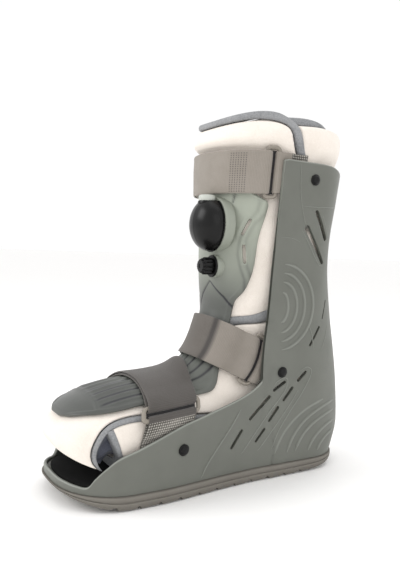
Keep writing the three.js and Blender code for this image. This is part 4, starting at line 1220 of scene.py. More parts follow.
# ------------------------------------------------------------------ sub-assemblies
@dataclass
class ShellPart:
    """Rigid shell with raised lines, slots and rivets."""

    form: ShellForm = ShellForm()
    wall: float = 3.0
    columns: int = 170
    rows: int = 44
    slots: tuple[tuple[float, float, float, float, float, float], ...] = (
        (-13.1, 89.9, -20.9, 96.8, 1.7, 1.5), (13.8, 82.9, 2.9, 89.3, 1.6, 1.6), (2.1, 72.8, -6.5, 83.0, 1.5, 1.6),
        (38.6, 59.2, 19.0, 77.0, 1.5, 1.8), (16.8, 55.1, 8.5, 66.0, 1.4, 1.7), (30.2, 37.6, 21.9, 47.5, 1.3, 1.5),
        (57.4, 35.8, 47.7, 49.5, 1.6, 1.6), (-23.8, 121.9, -34.1, 138.0, 1.3, 1.3),
        (-38.6, 146.1, -43.2, 162.7, 0.7, 0.7),
        (-19.8, 242.8, -34.2, 220.2, 2.0, 2.4), (-10.3, 228.1, -32.5, 198.2, 2.8, 2.0),
    )
    arcs: tuple[tuple[float, float, float, float, float, float, float], ...] = (
        (12.6, 157.3, 36.5, 38.3, 92, 265, 1.3), (12.6, 157.3, 26.6, 30.6, 92, 265, 1.3),
        (12.6, 157.3, 17.5, 22.6, 92, 265, 1.2), (12.6, 157.3, 7.5, 13.4, 95, 265, 1.0),
        (-68.0, 14.9, 61.7, 49.8, 88, 8, 1.2), (-68.0, 14.9, 52.0, 40.6, 88, 10, 1.2),
        (-68.0, 14.9, 36.0, 30.0, 88, 10, 1.1), (-68.0, 14.9, 24.0, 20.0, 88, 12, 0.9),
        (-68.0, 14.9, 76.0, 56.0, 74, 8, 0.45),
    )
    ridges: tuple[tuple[float, float, Line], ...] = (
        (2.4, 0.9, ((50.0, 69.5), (59.7, 55.0), (73.7, 37.7), (83.3, 25.3), (88.5, 14.5))),
        (1.7, 0.5, (
            (-14.7, 98.7), (-22.5, 101.5), (-28.0, 97.0), (-20.3, 80.3), (-7.7, 63.4), (5.5, 44.1), (11.7, 27.8),
        )),
        (1.7, 0.5, (
            (14.5, 87.0), (10.0, 91.5), (2.5, 93.5), (-0.5, 90.0), (2.1, 80.9), (16.6, 64.1), (31.7, 45.6),
            (45.9, 28.4),
        )),
        (1.6, 0.45, ((-14.0, 80.5), (-4.9, 67.5), (7.4, 51.9), (21.6, 34.9), (27.6, 28.2))),
        (1.4, 0.45, ((-49.0, 140.5), (-44.5, 126.5), (-38.5, 115.0))),
        (1.4, 0.45, ((-19.0, 143.0), (-25.5, 130.4), (-29.0, 117.0))),
        (1.3, 0.4, ((-26.5, 241.5), (-38.5, 221.5), (-37.0, 216.5))),
        (1.3, 0.4, ((-4.5, 226.0), (-12.0, 216.5), (-27.5, 196.0), (-34.0, 194.5))),
        (1.2, 0.5, ((3.4, 283.0), (2.7, 270.0), (1.2, 258.0), (-1.7, 246.5), (-5.5, 236.0), (-9.8, 228.0))),
        (1.2, 0.45, ((-3.1, 247.3), (-20.6, 247.3), (-40.0, 248.3), (-56.0, 249.5))),
        (0.9, 0.3, ((18.8, 219.3), (5.4, 218.5), (-3.7, 215.5))),
    )
    rivets: tuple[tuple[str, float, float], ...] = (
        ("calf", -14.0, 270.8), ("ankle", 6.7, 98.7), ("toe", 109.0, 42.9),
    )
    rivet_radius: float = 4.8
    rivet_profile: Line = (
        (0, -0.2), (1.02, -0.2), (1.02, 0.5), (0.94, 0.9), (0.82, 1.0), (0.8, 1.5), (0.66, 2.3), (0.42, 2.9),
        (0.2, 3.1), (0, 3.15),
    )
    rim_profile: tuple[tuple[float, float], ...] = (
        (1.6, 0), (0.75, 0.08), (0.2, 0.27), (0, 0.5), (0.2, 0.73), (0.75, 0.92), (1.6, 1),
    )
    line_profile: tuple[tuple[float, float], ...] = (
        (-0.5, -0.5), (-0.36, 0.22), (-0.18, 0.8), (0, 1), (0.18, 0.8), (0.36, 0.22), (0.5, -0.5),
    )
    arc_width: float = 4.4
    arc_steps: int = 46
    sharp: float = 35.0

    def spot(self, fore: Grid, height: Grid, out: Grid, sign: int) -> Grid:
        """Scene point on the side of the shell."""
        side, reach = self.form.plan(self.form.share_at(fore, height), height, -np.asarray(out, float))
        return world(sign * side, reach, height)

    def cutter(self, slot: tuple[float, float, float, float, float, float]) -> bpy.types.Object:
        """Tapered slot with round ends, through both walls.

        Args:
            slot: fore and height of both ends, and the radius at each.

        Returns:
            The cutting solid.
        """
        fore_a, height_a, fore_b, height_b, radius_a, radius_b = slot
        lean = math.atan2(height_b - height_a, fore_b - fore_a)
        turn_a = np.linspace(math.pi / 2, 3 * math.pi / 2, 9) + lean
        fore = np.concatenate([fore_a + radius_a * np.cos(turn_a), fore_b + radius_b * np.cos(turn_a + math.pi)])
        height = np.concatenate([
            height_a + radius_a * np.sin(turn_a), height_b + radius_b * np.sin(turn_a + math.pi),
        ])
        reach = 2 * self.form.ball_half
        surface = Surface()
        surface.grid(
            np.stack([world(np.full_like(fore, s), fore, height) for s in (-reach, reach)]), loop=True, caps=True
        )
        faces = [face for part in surface.faces for face in part]
        return loose_solid("slot_cutter", surface.points[0].tolist(), faces)

    def build_wall(self) -> bpy.types.Object:
        """Shell body: one wall bent round the sole, with a round edge.

        Returns:
            The shell.
        """
        rim = np.array(self.rim_profile)
        down = np.linspace(0, 1, self.rows) ** 1.15
        drop = np.concatenate([rim[:, 0], np.full(2 * self.rows - 1, rim[0, 0])])
        inset = np.concatenate([rim[:, 1], np.full(self.rows - 1, 1.0), np.zeros(self.rows)]) * self.wall
        low = np.concatenate([np.zeros(len(rim)), down[1:], down[::-1]])
        along = np.linspace(0, 1, self.columns)
        side, fore, height = self.form.wall(along[:, None], drop[None, :], low[None, :], inset[None, :])
        half = len(rim) + self.rows - 1
        order = np.concatenate([np.arange(half, 2 * self.rows + len(rim) - 1), np.arange(half)])
        near = world(side, fore, height)[:, order]
        far = world(-side, fore, height)[:, order][:, ::-1]
        # Lighter rounded rim: painted highlight along the shell's edge.
        wear = np.where((drop > 0) & (drop < 1.5), 0.8, 0.0)[order]
        surface = Surface()
        surface.grid(
            np.concatenate([near, far], axis=1), wear=np.concatenate([wear, wear[::-1]])[None, :], loop=True
        )
        made = surface.build("walking_shell", [SHELL], sharp=self.sharp)
        carve(made, [self.cutter(slot) for slot in self.slots])
        made.data.set_sharp_from_angle(angle=math.radians(self.sharp))
        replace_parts(made, "shell")
        return made

    def add_ridge(self, surface: Surface, line: Grid, width: float, rise: float, sign: int) -> None:
        """Adds one raised line on the shell's side, with thin ends.

        Args:
            surface: surface to add to.
            line: fore and height of its points.
            width: width at its foot.
            rise: height of its crest.
            sign: side of the boot.
        """
        ahead = np.gradient(line, axis=0)
        ahead /= np.linalg.norm(ahead, axis=1, keepdims=True)
        across, crest = np.array(self.line_profile).T[:, None, :]
        place = np.arange(len(line))
        end = np.clip(np.minimum(place, place[::-1]) / 4, 0, 1)[:, None]
        away = across * width * (0.35 + 0.65 * end)
        out = np.where(crest > 0, crest * rise * (0.15 + 0.85 * end), crest[0, 0])
        fore = line[:, :1] - ahead[:, 1:] * away
        height = line[:, 1:] + ahead[:, :1] * away
        # Lighter crests: painted highlight on the raised lines.
        surface.grid(self.spot(fore, height, out, sign), wear=crest.clip(0) ** 2 * 0.55, loop=True, caps=True)

    def build_relief(self) -> bpy.types.Object:
        """All raised lines of both sides as one moulded piece.

        Returns:
            The piece.
        """
        surface = Surface()
        for sign in (1, -1):
            for fore, height, long, tall, start, end, rise in self.arcs:
                angle = np.radians(np.linspace(start, end, self.arc_steps))
                line = np.stack([fore + long * np.cos(angle), height + tall * np.sin(angle)], 1)
                self.add_ridge(surface, line, self.arc_width, rise, sign)
            for width, rise, corners in self.ridges:
                self.add_ridge(surface, fine_line(corners, 1.6), width, rise, sign)
        return surface.build("shell_raised_lines", [SHELL], sharp=60)

    def build_rivets(self) -> None:
        """Domed rivet heads in shallow washers on both sides."""
        profile = [(radius * self.rivet_radius, rise) for radius, rise in self.rivet_profile]
        for name, fore, height in self.rivets:
            for end, sign in SIDES:
                centre, ahead, above = (
                    Vector(self.spot(np.array(fore + a), np.array(height + b), np.array(0.35), sign))
                    for a, b in ((0, 0), (3, 0), (0, 3))
                )
                out = (ahead - centre).cross(above - centre)
                out = out if out.x * sign > 0 else -out
                origin = (centre.x / MM, FORE_SHIFT - centre.y / MM, centre.z / MM)
                head = turned(f"rivet_{name}_{end}_head", BLACK, profile, origin, out, segments=36)
                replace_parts(head, f"rivet_{name}_{end}")

    def build(self) -> None:
        """Builds the shell, its relief and its rivets."""
        self.build_wall()
        self.build_relief()
        self.build_rivets()


@dataclass
class SolePart:
    """Rocker sole with stepped treads, and the insole."""

    form: ShellForm = ShellForm()
    rocker_rise: float = 13.0
    heel_rise: float = 9.0
    rocker_start: float = 0.76
    heel_start: float = 0.1
    pitch: float = 19.0
    notch: float = 3.2
    notch_depth: float = 3.0
    first_notch: float = 0.82
    margin: float = 1.5
    insole_low: float = 15.7
    insole_top: float = 18.3
    insole_inset: float = 5.4
    side_rows: tuple[tuple[float, float, int], ...] = (
        (0, 12.0, 0), (0.25, 12.0, 0), (0.9, 0.96, 1), (1.0, 0.88, 1), (1.0, 0.62, 1), (0.55, 0.58, 1),
        (0.55, 0.53, 1), (1.0, 0.49, 1), (0.9, 0.24, 1), (0.55, 0.07, 1), (-0.4, 0.015, 1), (-1.6, 0, 1),
    )

    def rise(self, fore: Grid) -> Grid:
        """Height of the rocker bottom at a fore distance."""
        toe = np.clip(fore / self.form.toe_reach - self.rocker_start, 0, None) / (1 - self.rocker_start)
        heel = np.clip(-fore / self.form.heel_reach - self.heel_start, 0, None) / (1 - self.heel_start)
        return self.rocker_rise * toe**1.7 + self.heel_rise * heel**2

    def tread(self, fore: Grid) -> Grid:
        """Rise of the tread blocks and of the notches between them.

        Args:
            fore: fore distance.

        Returns:
            Height over the plain bottom.
        """
        place = np.mod(self.first_notch * self.form.toe_reach + self.notch / 2 - fore, self.pitch)
        inside = (fore < self.first_notch * self.form.toe_reach + 3) & (fore > -0.4 * self.form.heel_reach)
        notch = 1 - smooth_step(self.notch * 0.35, self.notch * 0.6, np.abs(place - self.notch / 2))
        slant = 0.7 * np.clip((place - self.notch) / (self.pitch - self.notch), 0, 1)
        return np.where(inside, notch * self.notch_depth + (1 - notch) * slant, 0)

    def build_sole(self) -> bpy.types.Object:
        """Outsole with a groove under the shell and a rounded lower edge.

        Returns:
            The outsole.
        """
        share = np.linspace(-1, 1, 380)[:, None]
        loops: list[Grid] = []
        wears: list[float] = []
        for bulge, level, kind in self.side_rows:
            inset = -self.margin * bulge if kind else 9.0 * (1 - 4 * bulge)
            side, fore = self.form.plan(share, self.form.sole, inset)
            top = self.form.sole + self.form.lift(fore)
            low = self.rise(fore)
            step = self.tread(fore) * max(0.0, 1 - level * 4) if kind else 0.0
            loops.append(world(np.maximum(side, 0), fore, low + step + (top - low - step) * level if kind else top))
            # Lighter outer ridges of the sole's side: painted highlight with wear.
            wears.append(0.5 if kind and level in (0.88, 0.49) else 0.0)
        near = np.concatenate(loops, axis=1)
        far = near[:, ::-1] * np.array([-1, 1, 1])
        steps = np.linspace(0, 1, 10)[1:-1][None, :, None]
        bottom = near[:, -1:] + (far[:, :1] - near[:, -1:]) * steps
        surface = Surface()
        wear = np.array([*wears, *([0.3] * 8), *wears[::-1]])[None, :]
        surface.grid(np.concatenate([near, bottom, far], axis=1), wear=wear, loop=True)
        made = surface.build("walking_outsole", [SOLE], sharp=38)
        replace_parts(made, "outsole")
        return made

    def build_insole(self) -> bpy.types.Object:
        """Thin cloth-covered insole with a soft edge.

        Returns:
            The insole.
        """

        def place(along: Grid, across: Grid, level: Grid) -> Grid:
            """Point of the insole at a height over the shell's floor."""
            side, fore = self.form.plan(2 * along - 1, self.form.sole, self.insole_inset)
            return world(np.maximum(side, 0) * (1 - 2 * across), fore, level + self.form.lift(fore))

        made = Pillow(
            place, self.insole_low, self.insole_top, rows=90, columns=24, row_rim=0.004, column_rim=0.02,
            length=280, width=90,
        ).build("insole_cloth_pad", [INSOLE])
        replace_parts(made, "insole")
        return made

    def build(self) -> None:
        """Builds the outsole and the insole."""
        self.build_sole()
        self.build_insole()


@dataclass
class SockPart:
    """Padded sock with its flaps, linings and edge tapes."""

    form: SockForm = SockForm()
    wall: float = 6.0
    thick: float = 6.0
    flap: float = 5.0
    gap: float = 1.0
    tape: float = 6.0
    turn_length: float = 86.0
    sock_end: float = 19.2
    vamp_end: float = 22.95
    corner: float = 1.15
    section_length: float = 11.0
    tongue_end: float = 9.3
    crown: Bump = Bump(2.4, 0.85)
    crown_station: float = 1.25

    def hem(self, share: Grid) -> Grid:
        """Station of the calf flap's lower hem by the share across it."""
        return 10.0 - 3.5 * np.abs(share)

    def sink(self, turn: Grid) -> Grid:
        """Drop of the sock's rim at its sides and back, in stations."""
        return 0.6 * smooth_step(0.55, 0.95, np.abs(turn))

    def brim(self, share: Grid) -> Grid:
        """Station of the calf flap's top edge, lower towards its round corners."""
        return self.corner * (1 - (1 - np.abs(share) ** 3) ** (1 / 3))

    def waves(self, station: Grid, turn: Grid, strength: float) -> Grid:
        """Soft unevenness of padded cloth."""
        slow = np.sin(1.9 * station + 3.1 * turn) * np.sin(2.3 * turn - 0.7 * station + 0.6)
        quick = np.sin(4.7 * station - 5.3 * turn + 1.3) * np.sin(3.9 * turn + 2.1)
        return strength * (0.7 * slow + 0.3 * quick)

    def beside_plate(self, station: Grid, turn: Grid) -> Grid:
        """Share of the cloth that lies beside the front plate."""
        return smooth_step(0.04, 0.1, np.abs(turn) - PlatePart.edge(station))

    def body_coordinates(self, along: Grid, across: Grid) -> tuple[Grid, Grid]:
        """Station and turn of the body, from its outer edge round the back to its inner edge.

        Args:
            along: share from the rim to the toe end.
            across: share round the back.

        Returns:
            Stations and turns.
        """
        station = self.sock_end * along
        edge = self.form.flap_turn(station) + (self.tape + 2 * self.gap) / self.turn_length
        signed = 2 * across - 1
        turn = np.where(signed < 0, 1.0, -1.0) * (2 - (2 - edge) * np.abs(signed))
        return station + self.sink(turn) * (1 - along), turn

    def body_puff(self, station: Grid, turn: Grid) -> Grid:
        """Swell of the body at the rim and behind the shell's front edge.

        Args:
            station: place along the sock.
            turn: place round it.

        Returns:
            Height over the plain body.
        """
        collar = 1.6 * smooth_step(2.6, 1.2, station)
        shin = smooth_step(3.9, 4.4, station) * smooth_step(7.6, 7.0, station)
        behind = 4.1 * smooth_step(1.03, 1.13, np.abs(turn)) * shin
        return collar + behind + self.waves(station, turn, 0.5) - 0.4

    def body_free(self, station: Grid, turn: Grid) -> Grid:
        """Cloth above the shell and at the toe end."""
        return smooth_step(2.1, 1.5, station) + smooth_step(18.0, 18.4, station)

    def tongue_coordinates(self, along: Grid, across: Grid) -> tuple[Grid, Grid]:
        """Station and turn of the thin front."""
        station = self.tongue_end * along
        return station, (2 * across - 1) * (self.form.flap_turn(station) + 0.04)

    def calf_coordinates(self, along: Grid, across: Grid) -> tuple[Grid, Grid]:
        """Station and turn of the calf flap."""
        top, hem = self.brim(2 * across - 1), self.hem(2 * across - 1)
        return self.flap_coordinates(across, top + (hem - top) * along)

    def toe_coordinates(self, along: Grid, across: Grid) -> tuple[Grid, Grid]:
        """Station and turn of the toe flap."""
        start = self.hem(2 * across - 1) + 0.5
        return self.flap_coordinates(across, start + (self.vamp_end - start) * along)

    def flap_coordinates(self, across: Grid, station: Grid) -> tuple[Grid, Grid]:
        """Station and turn of a flap by the share across it."""
        return station, self.form.flap_turn(station) * (2 * across - 1)

    def calf_puff(self, station: Grid, turn: Grid) -> Grid:
        """Crown of the calf flap over its strap, pulled in at the seams."""
        crown = self.crown.at(station - self.crown_station) * (0.7 + 0.3 * np.cos(2.1 * turn))
        free = smooth_step(0.45, 0.8, np.abs(turn))
        return crown + self.waves(station, turn, 0.35) * (0.3 + 0.7 * free) + 0.5 * free * smooth_step(4, 5, station)

    def calf_free(self, station: Grid, turn: Grid) -> Grid:
        """Cloth above the calf strap and beside the plate."""
        beside = self.beside_plate(station, turn) * smooth_step(4.1, 4.6, station)
        return np.maximum(smooth_step(2.0, 1.5, station), beside * smooth_step(8.3, 7.8, station))

    def toe_puff(self, station: Grid, turn: Grid) -> Grid:
        """Folds of the toe flap over the toes."""
        fold = 1.1 * np.sin(2.4 * station + 1.7 * turn) * np.cos(1.4 * turn) + 0.5
        return smooth_step(20.4, 21.6, station) * fold + self.waves(station, turn, 0.3)

    def toe_free(self, station: Grid, turn: Grid) -> Grid:
        """Cloth over the toes in front of the plate."""
        beside = smooth_step(18.8, 19.4, station) * self.beside_plate(station, turn)
        return smooth_step(20.9, 21.2, station) + beside * smooth_step(21.2, 20.9, station)

    def sew(
        self,
        name: str,
        node: str,
        coordinates: Callable[[Grid, Grid], tuple[Grid, Grid]],
        faces: tuple[float, float],
        fill: float,
        puff: Value | None = None,
        free: Value | None = None,
        padding: Padding | None = None,
        looks: Sequence[Finish] = (LINER,),
        sharp: float = 70.0,
        **sizes: float,
    ) -> None:
        """Makes one padded layer over the sock.

        Args:
            name: piece name.
            node: CAD node that it stands for, or nothing.
            coordinates: station and turn from the two shares of the layer.
            faces: distances of its inner and outer face from the sock.
            fill: how tight it is; not used.
            puff: swell at a station and a turn.
            free: share by which the cloth may move there.
            padding: simulation that swells it.
            looks: finishes of its outer and of its inner face.
            sharp: angle in degrees over which an edge stays sharp.
            sizes: further fields of its Pillow.
        """

        def place(along: Grid, across: Grid, out: Grid) -> Grid:
            """Point of the layer."""
            return self.form.over(*coordinates(along, across), out)

        def by_share(value: Value | None) -> Value | None:
            """Reads a function of station and turn by the two shares."""
            return value and (lambda along, across: value(*coordinates(along, across)))

        pillow = Pillow(place, *faces, puff=by_share(puff), free=by_share(free), **sizes)
        made = pillow.build(name, looks, sharp)
        if padding:
            padding.swell(made)
        if node:
            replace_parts(made, node)

    def build_body(self) -> None:
        """Thick back and sides of the sock, open in front, and the thin front under the calf flap."""
        self.sew(
            "sock_padded_body", "liner_sock", self.body_coordinates, (-self.wall, self.thick), 0.8,
            self.body_puff, self.body_free, Padding(6.0, 2.2),
            rows=150, columns=120, row_rim=0.012, column_rim=0.012, length=460, width=300,
        )
        self.sew(
            "sock_thin_front", "", self.tongue_coordinates, (-self.wall, -0.3), 0.5, sharp=40,
            rows=60, columns=40, row_rim=0.02, column_rim=0.02, length=200, width=120,
        )

    def build_flaps(self) -> None:
        """Padded flap over the shin, and the one over instep and toes with its grey lining."""
        faces = (self.gap, self.gap + self.flap)
        self.sew(
            "calf_flap_padded", "calf_flap", self.calf_coordinates, faces, 0.85,
            self.calf_puff, self.calf_free, Padding(3.2, 2.0),
            rows=130, columns=90, row_rim=0.02, column_rim=0.02, length=185, width=150,
        )
        self.sew(
            "toe_flap_padded", "toe_flap", self.toe_coordinates, faces, 0.7,
            self.toe_puff, self.toe_free, Padding(3.4, 2.0), (LINER, LINING),
            rows=170, columns=60, row_rim=0.012, column_rim=0.02, length=300, width=100,
        )

    def tape_on(self, surface: Surface, rows: Grid, low: float, high: float, crown: float = 0.5) -> None:
        """Adds a tape of half-round section.

        Args:
            surface: surface to add to.
            rows: station and turn of both long sides, row by row.
            low: distance of its inner face from the sock.
            high: distance of its outer face.
            crown: extra height in its middle.
        """
        angle = np.linspace(0, 2 * math.pi, 21)[:-1]
        across = 0.5 + 0.5 * signed_power(np.cos(angle), 0.6)
        lift = signed_power(np.sin(angle), 0.6)
        out = (low + high) / 2 + (high - low) / 2 * lift + crown * np.clip(lift, 0, 1) * np.sin(math.pi * across)
        station = rows[:, :1] + (rows[:, 2:3] - rows[:, :1]) * across
        turn = rows[:, 1:2] + (rows[:, 3:] - rows[:, 1:2]) * across
        points = self.form.over(station, turn, np.broadcast_to(out, station.shape))
        # Lighter top of the tape: painted highlight.
        wear = np.broadcast_to(np.clip(lift, 0, 1) ** 3 * 0.25, station.shape)
        surface.grid(points, wear=wear, loop=True, caps=True)

    def build_flap_tape(self) -> None:
        """Tape down both sides of the calf flap and over its top."""
        share = np.sin(np.radians(np.linspace(0, 90, 60)))
        station = np.concatenate([self.brim(share), np.linspace(self.corner, self.hem(np.ones(1))[0], 60)[1:]])
        turn = np.concatenate([share, np.ones(59)]) * self.form.flap_turn(station)
        metric = np.array([self.section_length, self.turn_length])
        path = np.stack([station, turn], 1) * metric
        ahead = np.gradient(path, axis=0)
        ahead /= np.linalg.norm(ahead, axis=1, keepdims=True)
        aside = np.stack([-ahead[:, 1], ahead[:, 0]], 1)
        side = np.concatenate([(path + aside * away) / metric for away in (self.gap, self.gap + self.tape)], 1)
        surface = Surface()
        rows = np.concatenate([side[::-1], side[1:] * np.array([1, -1, 1, -1])])
        self.tape_on(surface, rows, self.gap, self.gap + self.flap, 0.6)
        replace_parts(surface.build("tape_calf_flap", [BINDING]), "binding_calf_flap")

    def build_hem_tape(self) -> None:
        """Tape along the calf flap's lower hem."""
        share = np.linspace(-1, 1, 70)
        turn = share * self.form.flap_turn(self.hem(share))
        surface = Surface()
        rows = np.stack([self.hem(share) - 0.05, turn, self.hem(share) + 0.45, turn], 1)
        self.tape_on(surface, rows, self.gap + 0.6, self.gap + self.flap + 0.3, 0.7)
        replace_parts(surface.build("tape_calf_hem", [BINDING]), "binding_calf_hem")

    def build_toe_tapes(self, name: str, sign: int) -> None:
        """Tapes of one side of the toe flap and of the sock's wall beside it.

        Args:
            name: side of the boot in the pieces' names.
            sign: 1 for the outer side of the boot, -1 for the inner side.
        """
        broad, seam = self.tape / self.turn_length, self.gap / self.turn_length
        station = np.linspace(13, self.vamp_end, 90)
        edge = self.form.flap_turn(station) + 1.4 * seam
        surface = Surface()
        rows = np.stack([station, sign * edge, station, sign * (edge + 1.3 * broad)], 1)
        self.tape_on(surface, rows, self.gap, self.gap + self.flap, 0.6)
        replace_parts(surface.build(f"tape_toe_flap_{name}", [BINDING]), f"binding_toe_flap_{name}")
        turn = sign * np.linspace(self.form.flap_turn(self.sock_end) + 1.5 * broad, 2.0, 40)
        end = np.full(40, self.sock_end)
        surface = Surface()
        self.tape_on(surface, np.stack([end - 0.25, turn, end + 0.3, turn], 1), -self.wall, self.thick + 0.4, 0.3)
        surface.build(f"tape_wall_end_{name}", [BINDING])

    def build_rim_tape(self) -> None:
        """Tape round the sock's rim."""
        around = np.linspace(0, 2 * math.pi, 21)[:-1]
        turn = np.linspace(-2, 2, 161)[:-1][:, None]
        station = self.sink(turn) - 0.31 - 0.25 * signed_power(np.sin(around), 0.7)
        half = self.wall / 2
        points = self.form.over(station, turn, -half + half * signed_power(np.cos(around), 0.7))
        surface = Surface()
        surface.grid(np.concatenate([points, points[:1]]), loop=True)
        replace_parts(surface.build("tape_sock_rim", [BINDING]), "binding_sock_rim")

    def gusset_point(self, sign: int, along: Grid, across: Grid, out: Grid) -> Grid:
        """Point of the pleated cloth between the toe flap and the sock's side wall.

        Args:
            sign: side of the boot.
            along: share along the foot.
            across: share from the flap to the wall.
            out: distance from the cloth's middle.

        Returns:
            Scene points.
        """
        station = 17.4 + 4.9 * along
        start = self.form.flap_turn(station) + 0.02
        turn = start + (1.5 - start) * across
        pleat = 1.5 * np.sin(9.5 * across + 5.2 * along) + 0.9 * np.sin(17 * across - 3.0 * along + 1.0)
        depth = -1.4 - 6.8 * smooth_step(0.0, 0.45, across) + pleat * smooth_step(0, 0.25, across)
        return self.form.over(station, sign * turn, depth + out)

    def build_gussets(self) -> None:
        """Pleated grey cloth on both sides of the toe opening."""
        for name, sign in SIDES:
            made = Pillow(
                partial(self.gusset_point, sign), -0.6, 0.6, rows=70, columns=50, row_rim=0.02, column_rim=0.03,
                length=90, width=60,
            ).build(f"gusset_lining_{name}", [LINING], sharp=70)

    def build(self) -> None:
        """Builds the sock and all that is sewn to it."""
        self.build_body()
        self.build_flaps()
        self.build_flap_tape()
        self.build_hem_tape()
        for name, sign in SIDES:
            self.build_toe_tapes(name, sign)
        self.build_rim_tape()
        self.build_gussets()


@dataclass
class PlatePart:
    """Bent front plate with ribs, vents and round seats for the pump."""

    sock: SockForm = SockForm()
    inner: float = 7.2
    outer: float = 9.7
    first: float = 2.6
    last: float = 20.75
    rows: int = 300
    columns: int = 84
    edge: Curve = Curve(
        (2.6, 2.9, 3.3, 3.72, 3.92, 4.2, 5, 6, 6.9, 7.7, 9.5, 11, 12.2, 13, 15, 17.5, 18.6, 19.6, 20.4, 20.75),
        (
            0.36, 0.46, 0.51, 0.56, 0.7, 0.71, 0.65, 0.61, 0.52, 0.4,
            0.36, 0.42, 0.55, 0.6, 0.55, 0.54, 0.52, 0.44, 0.27, 0.08,
        ),
    )
    crease: Line = (
        (48, 254), (46, 240), (40.3, 229), (36.3, 216), (35.1, 203), (36.6, 191), (38.6, 181), (38, 168), (35, 157),
    )
    slit: Line = ((31.1, 256), (29.4, 248))
    vee: tuple[Line, ...] = (((7.1, 177.9), (21.5, 164.7), (32.5, 149.5)), ((5.9, 177.8), (-5.8, 166.5), (-17, 150)))
    vents: tuple[tuple[float, float, float, float], ...] = ((4.55, 0.55, 4.95, 0.48), (5.3, 0.5, 5.75, 0.52))
    vent_radius: float = 1.6
    vent_reach: float = 7.0
    rib_turns: tuple[float, ...] = (-0.41, -0.29, -0.17, -0.05, 0.07, 0.19, 0.31, 0.42)
    crease_bump: Bump = Bump(1.1, 1.3)
    slit_bump: Bump = Bump(-1.2, 0.7)
    vee_bump: Bump = Bump(-0.9, 0.8)
    vent_lip: Bump = Bump(0.5, 0.8)
    rib_bump: Bump = Bump(1.1, 1.3)
    toe_bump: Bump = Bump(0.7, 1.2)
    edge_bump: Bump = Bump(0.8, 1.1)
    # Painted shade in the grooves, in the slit and on one side of the crease and of each rib.
    vee_shade: Bump = Bump(0.45, 0.7)
    slit_shade: Bump = Bump(0.7, 0.8)
    crease_shade: Bump = Bump(0.22, 0.9)
    rib_shade: Bump = Bump(0.3, 0.9)
    vent_lip_away: float = 3.4
    crease_shade_away: float = 1.9
    rib_shade_away: float = 2.2
    edge_bump_away: float = 2.6
    toe_line: float = 19.0
    toe_line_bend: float = 1.6
    toe_sink: float = 0.35
    pump_side: float = 13.0
    bulb_height: float = 229.1
    knob_height: float = 191.75
    plate_face: float = 61.06
    turn_length: float = 58.0
    section_length: float = 11.0
    # Painted shade on both seats, to match the plate's painted shade round them.
    seat_dark: float = 0.2

    def coordinates(self, along: Grid, across: Grid) -> tuple[Grid, Grid]:
        """Station and turn on the plate."""
        station = self.first + (self.last - self.first) * along
        return station, self.edge(station) * (2 * across - 1)

    def place(self, along: Grid, across: Grid, out: Grid) -> Grid:
        """Point of the plate."""
        station, turn = self.coordinates(along, across)
        return self.sock.over(station, turn, out)

    def to_edge(self, station: Grid, across: Grid) -> Grid:
        """Distance to the plate's side edges or to its toe end."""
        span = 2 * self.edge(station) * self.turn_length
        return np.minimum(np.minimum(across, 1 - across) * span, (self.last - station) * self.section_length)

    def front_view(self, along: Grid, across: Grid) -> tuple[Grid, Grid]:
        """Side and height of points of the plate's face."""
        point = self.place(along, across, self.outer) / MM
        return point[..., 0], point[..., 2]

    def shin(self, station: Grid) -> Grid:
        """Share of the shin's part of the plate, which ends at the instep."""
        return smooth_step(10.2, 9.6, station)

    def foot(self, station: Grid) -> Grid:
        """Share of the ribbed part over the foot."""
        return smooth_step(10.6, 11.4, station) * smooth_step(19.2, 18.6, station)

    def rib_distances(self, turn: Grid) -> list[Grid]:
        """Distance round the foot from each rib."""
        return [(turn - rib) * self.turn_length for rib in self.rib_turns]

    def vent_line(self, vent: tuple[float, float, float, float]) -> Line:
        """Side and height of both ends of a vent."""
        ends = self.sock.over(np.array(vent[::2]), np.array(vent[1::2]), self.outer) / MM
        return [(end[0], end[2]) for end in ends]

    def relief(self, along: Grid, across: Grid) -> Grid:
        """Raised and sunk lines of the outer face.

        Args:
            along: share along the plate.
            across: share across it.

        Returns:
            Height over the plain face.
        """
        station, turn = self.coordinates(along, across)
        x, z = self.front_view(along, across)
        rise = self.crease_bump.at(line_distance(np.abs(x), z, self.crease))
        rise = rise + self.slit_bump.at(line_distance(np.abs(x), z, self.slit))
        for line in self.vee:
            rise += self.vee_bump.at(line_distance(x, z, line))
        for vent in self.vents:
            rise += self.vent_lip.at(line_distance(np.abs(x), z, self.vent_line(vent)) - self.vent_lip_away)
        rise = rise * self.shin(station)
        for distance in self.rib_distances(turn):
            rise = rise + self.foot(station) * self.rib_bump.at(distance)
        toe_away = (station - self.toe_line - self.toe_line_bend * turn**2) * self.section_length
        rise = rise + self.toe_bump.at(toe_away) * smooth_step(0.47, 0.4, np.abs(turn))
        rise = rise - self.toe_sink * smooth_step(19.1, 19.4, station)
        return rise + self.edge_bump.at(self.to_edge(station, across) - self.edge_bump_away)

    def foot_dark(self, station: Grid) -> Grid:
        """Dark share of the plate's colour, which deepens from the shin to the toe: painted shade where the plate
        faces away from the light.
        """
        low = 0.8 * smooth_step(4.2, 8.4, station) - 0.08 * smooth_step(9.5, 12.0, station)
        return low + 0.12 * smooth_step(14.0, 18.5, station)

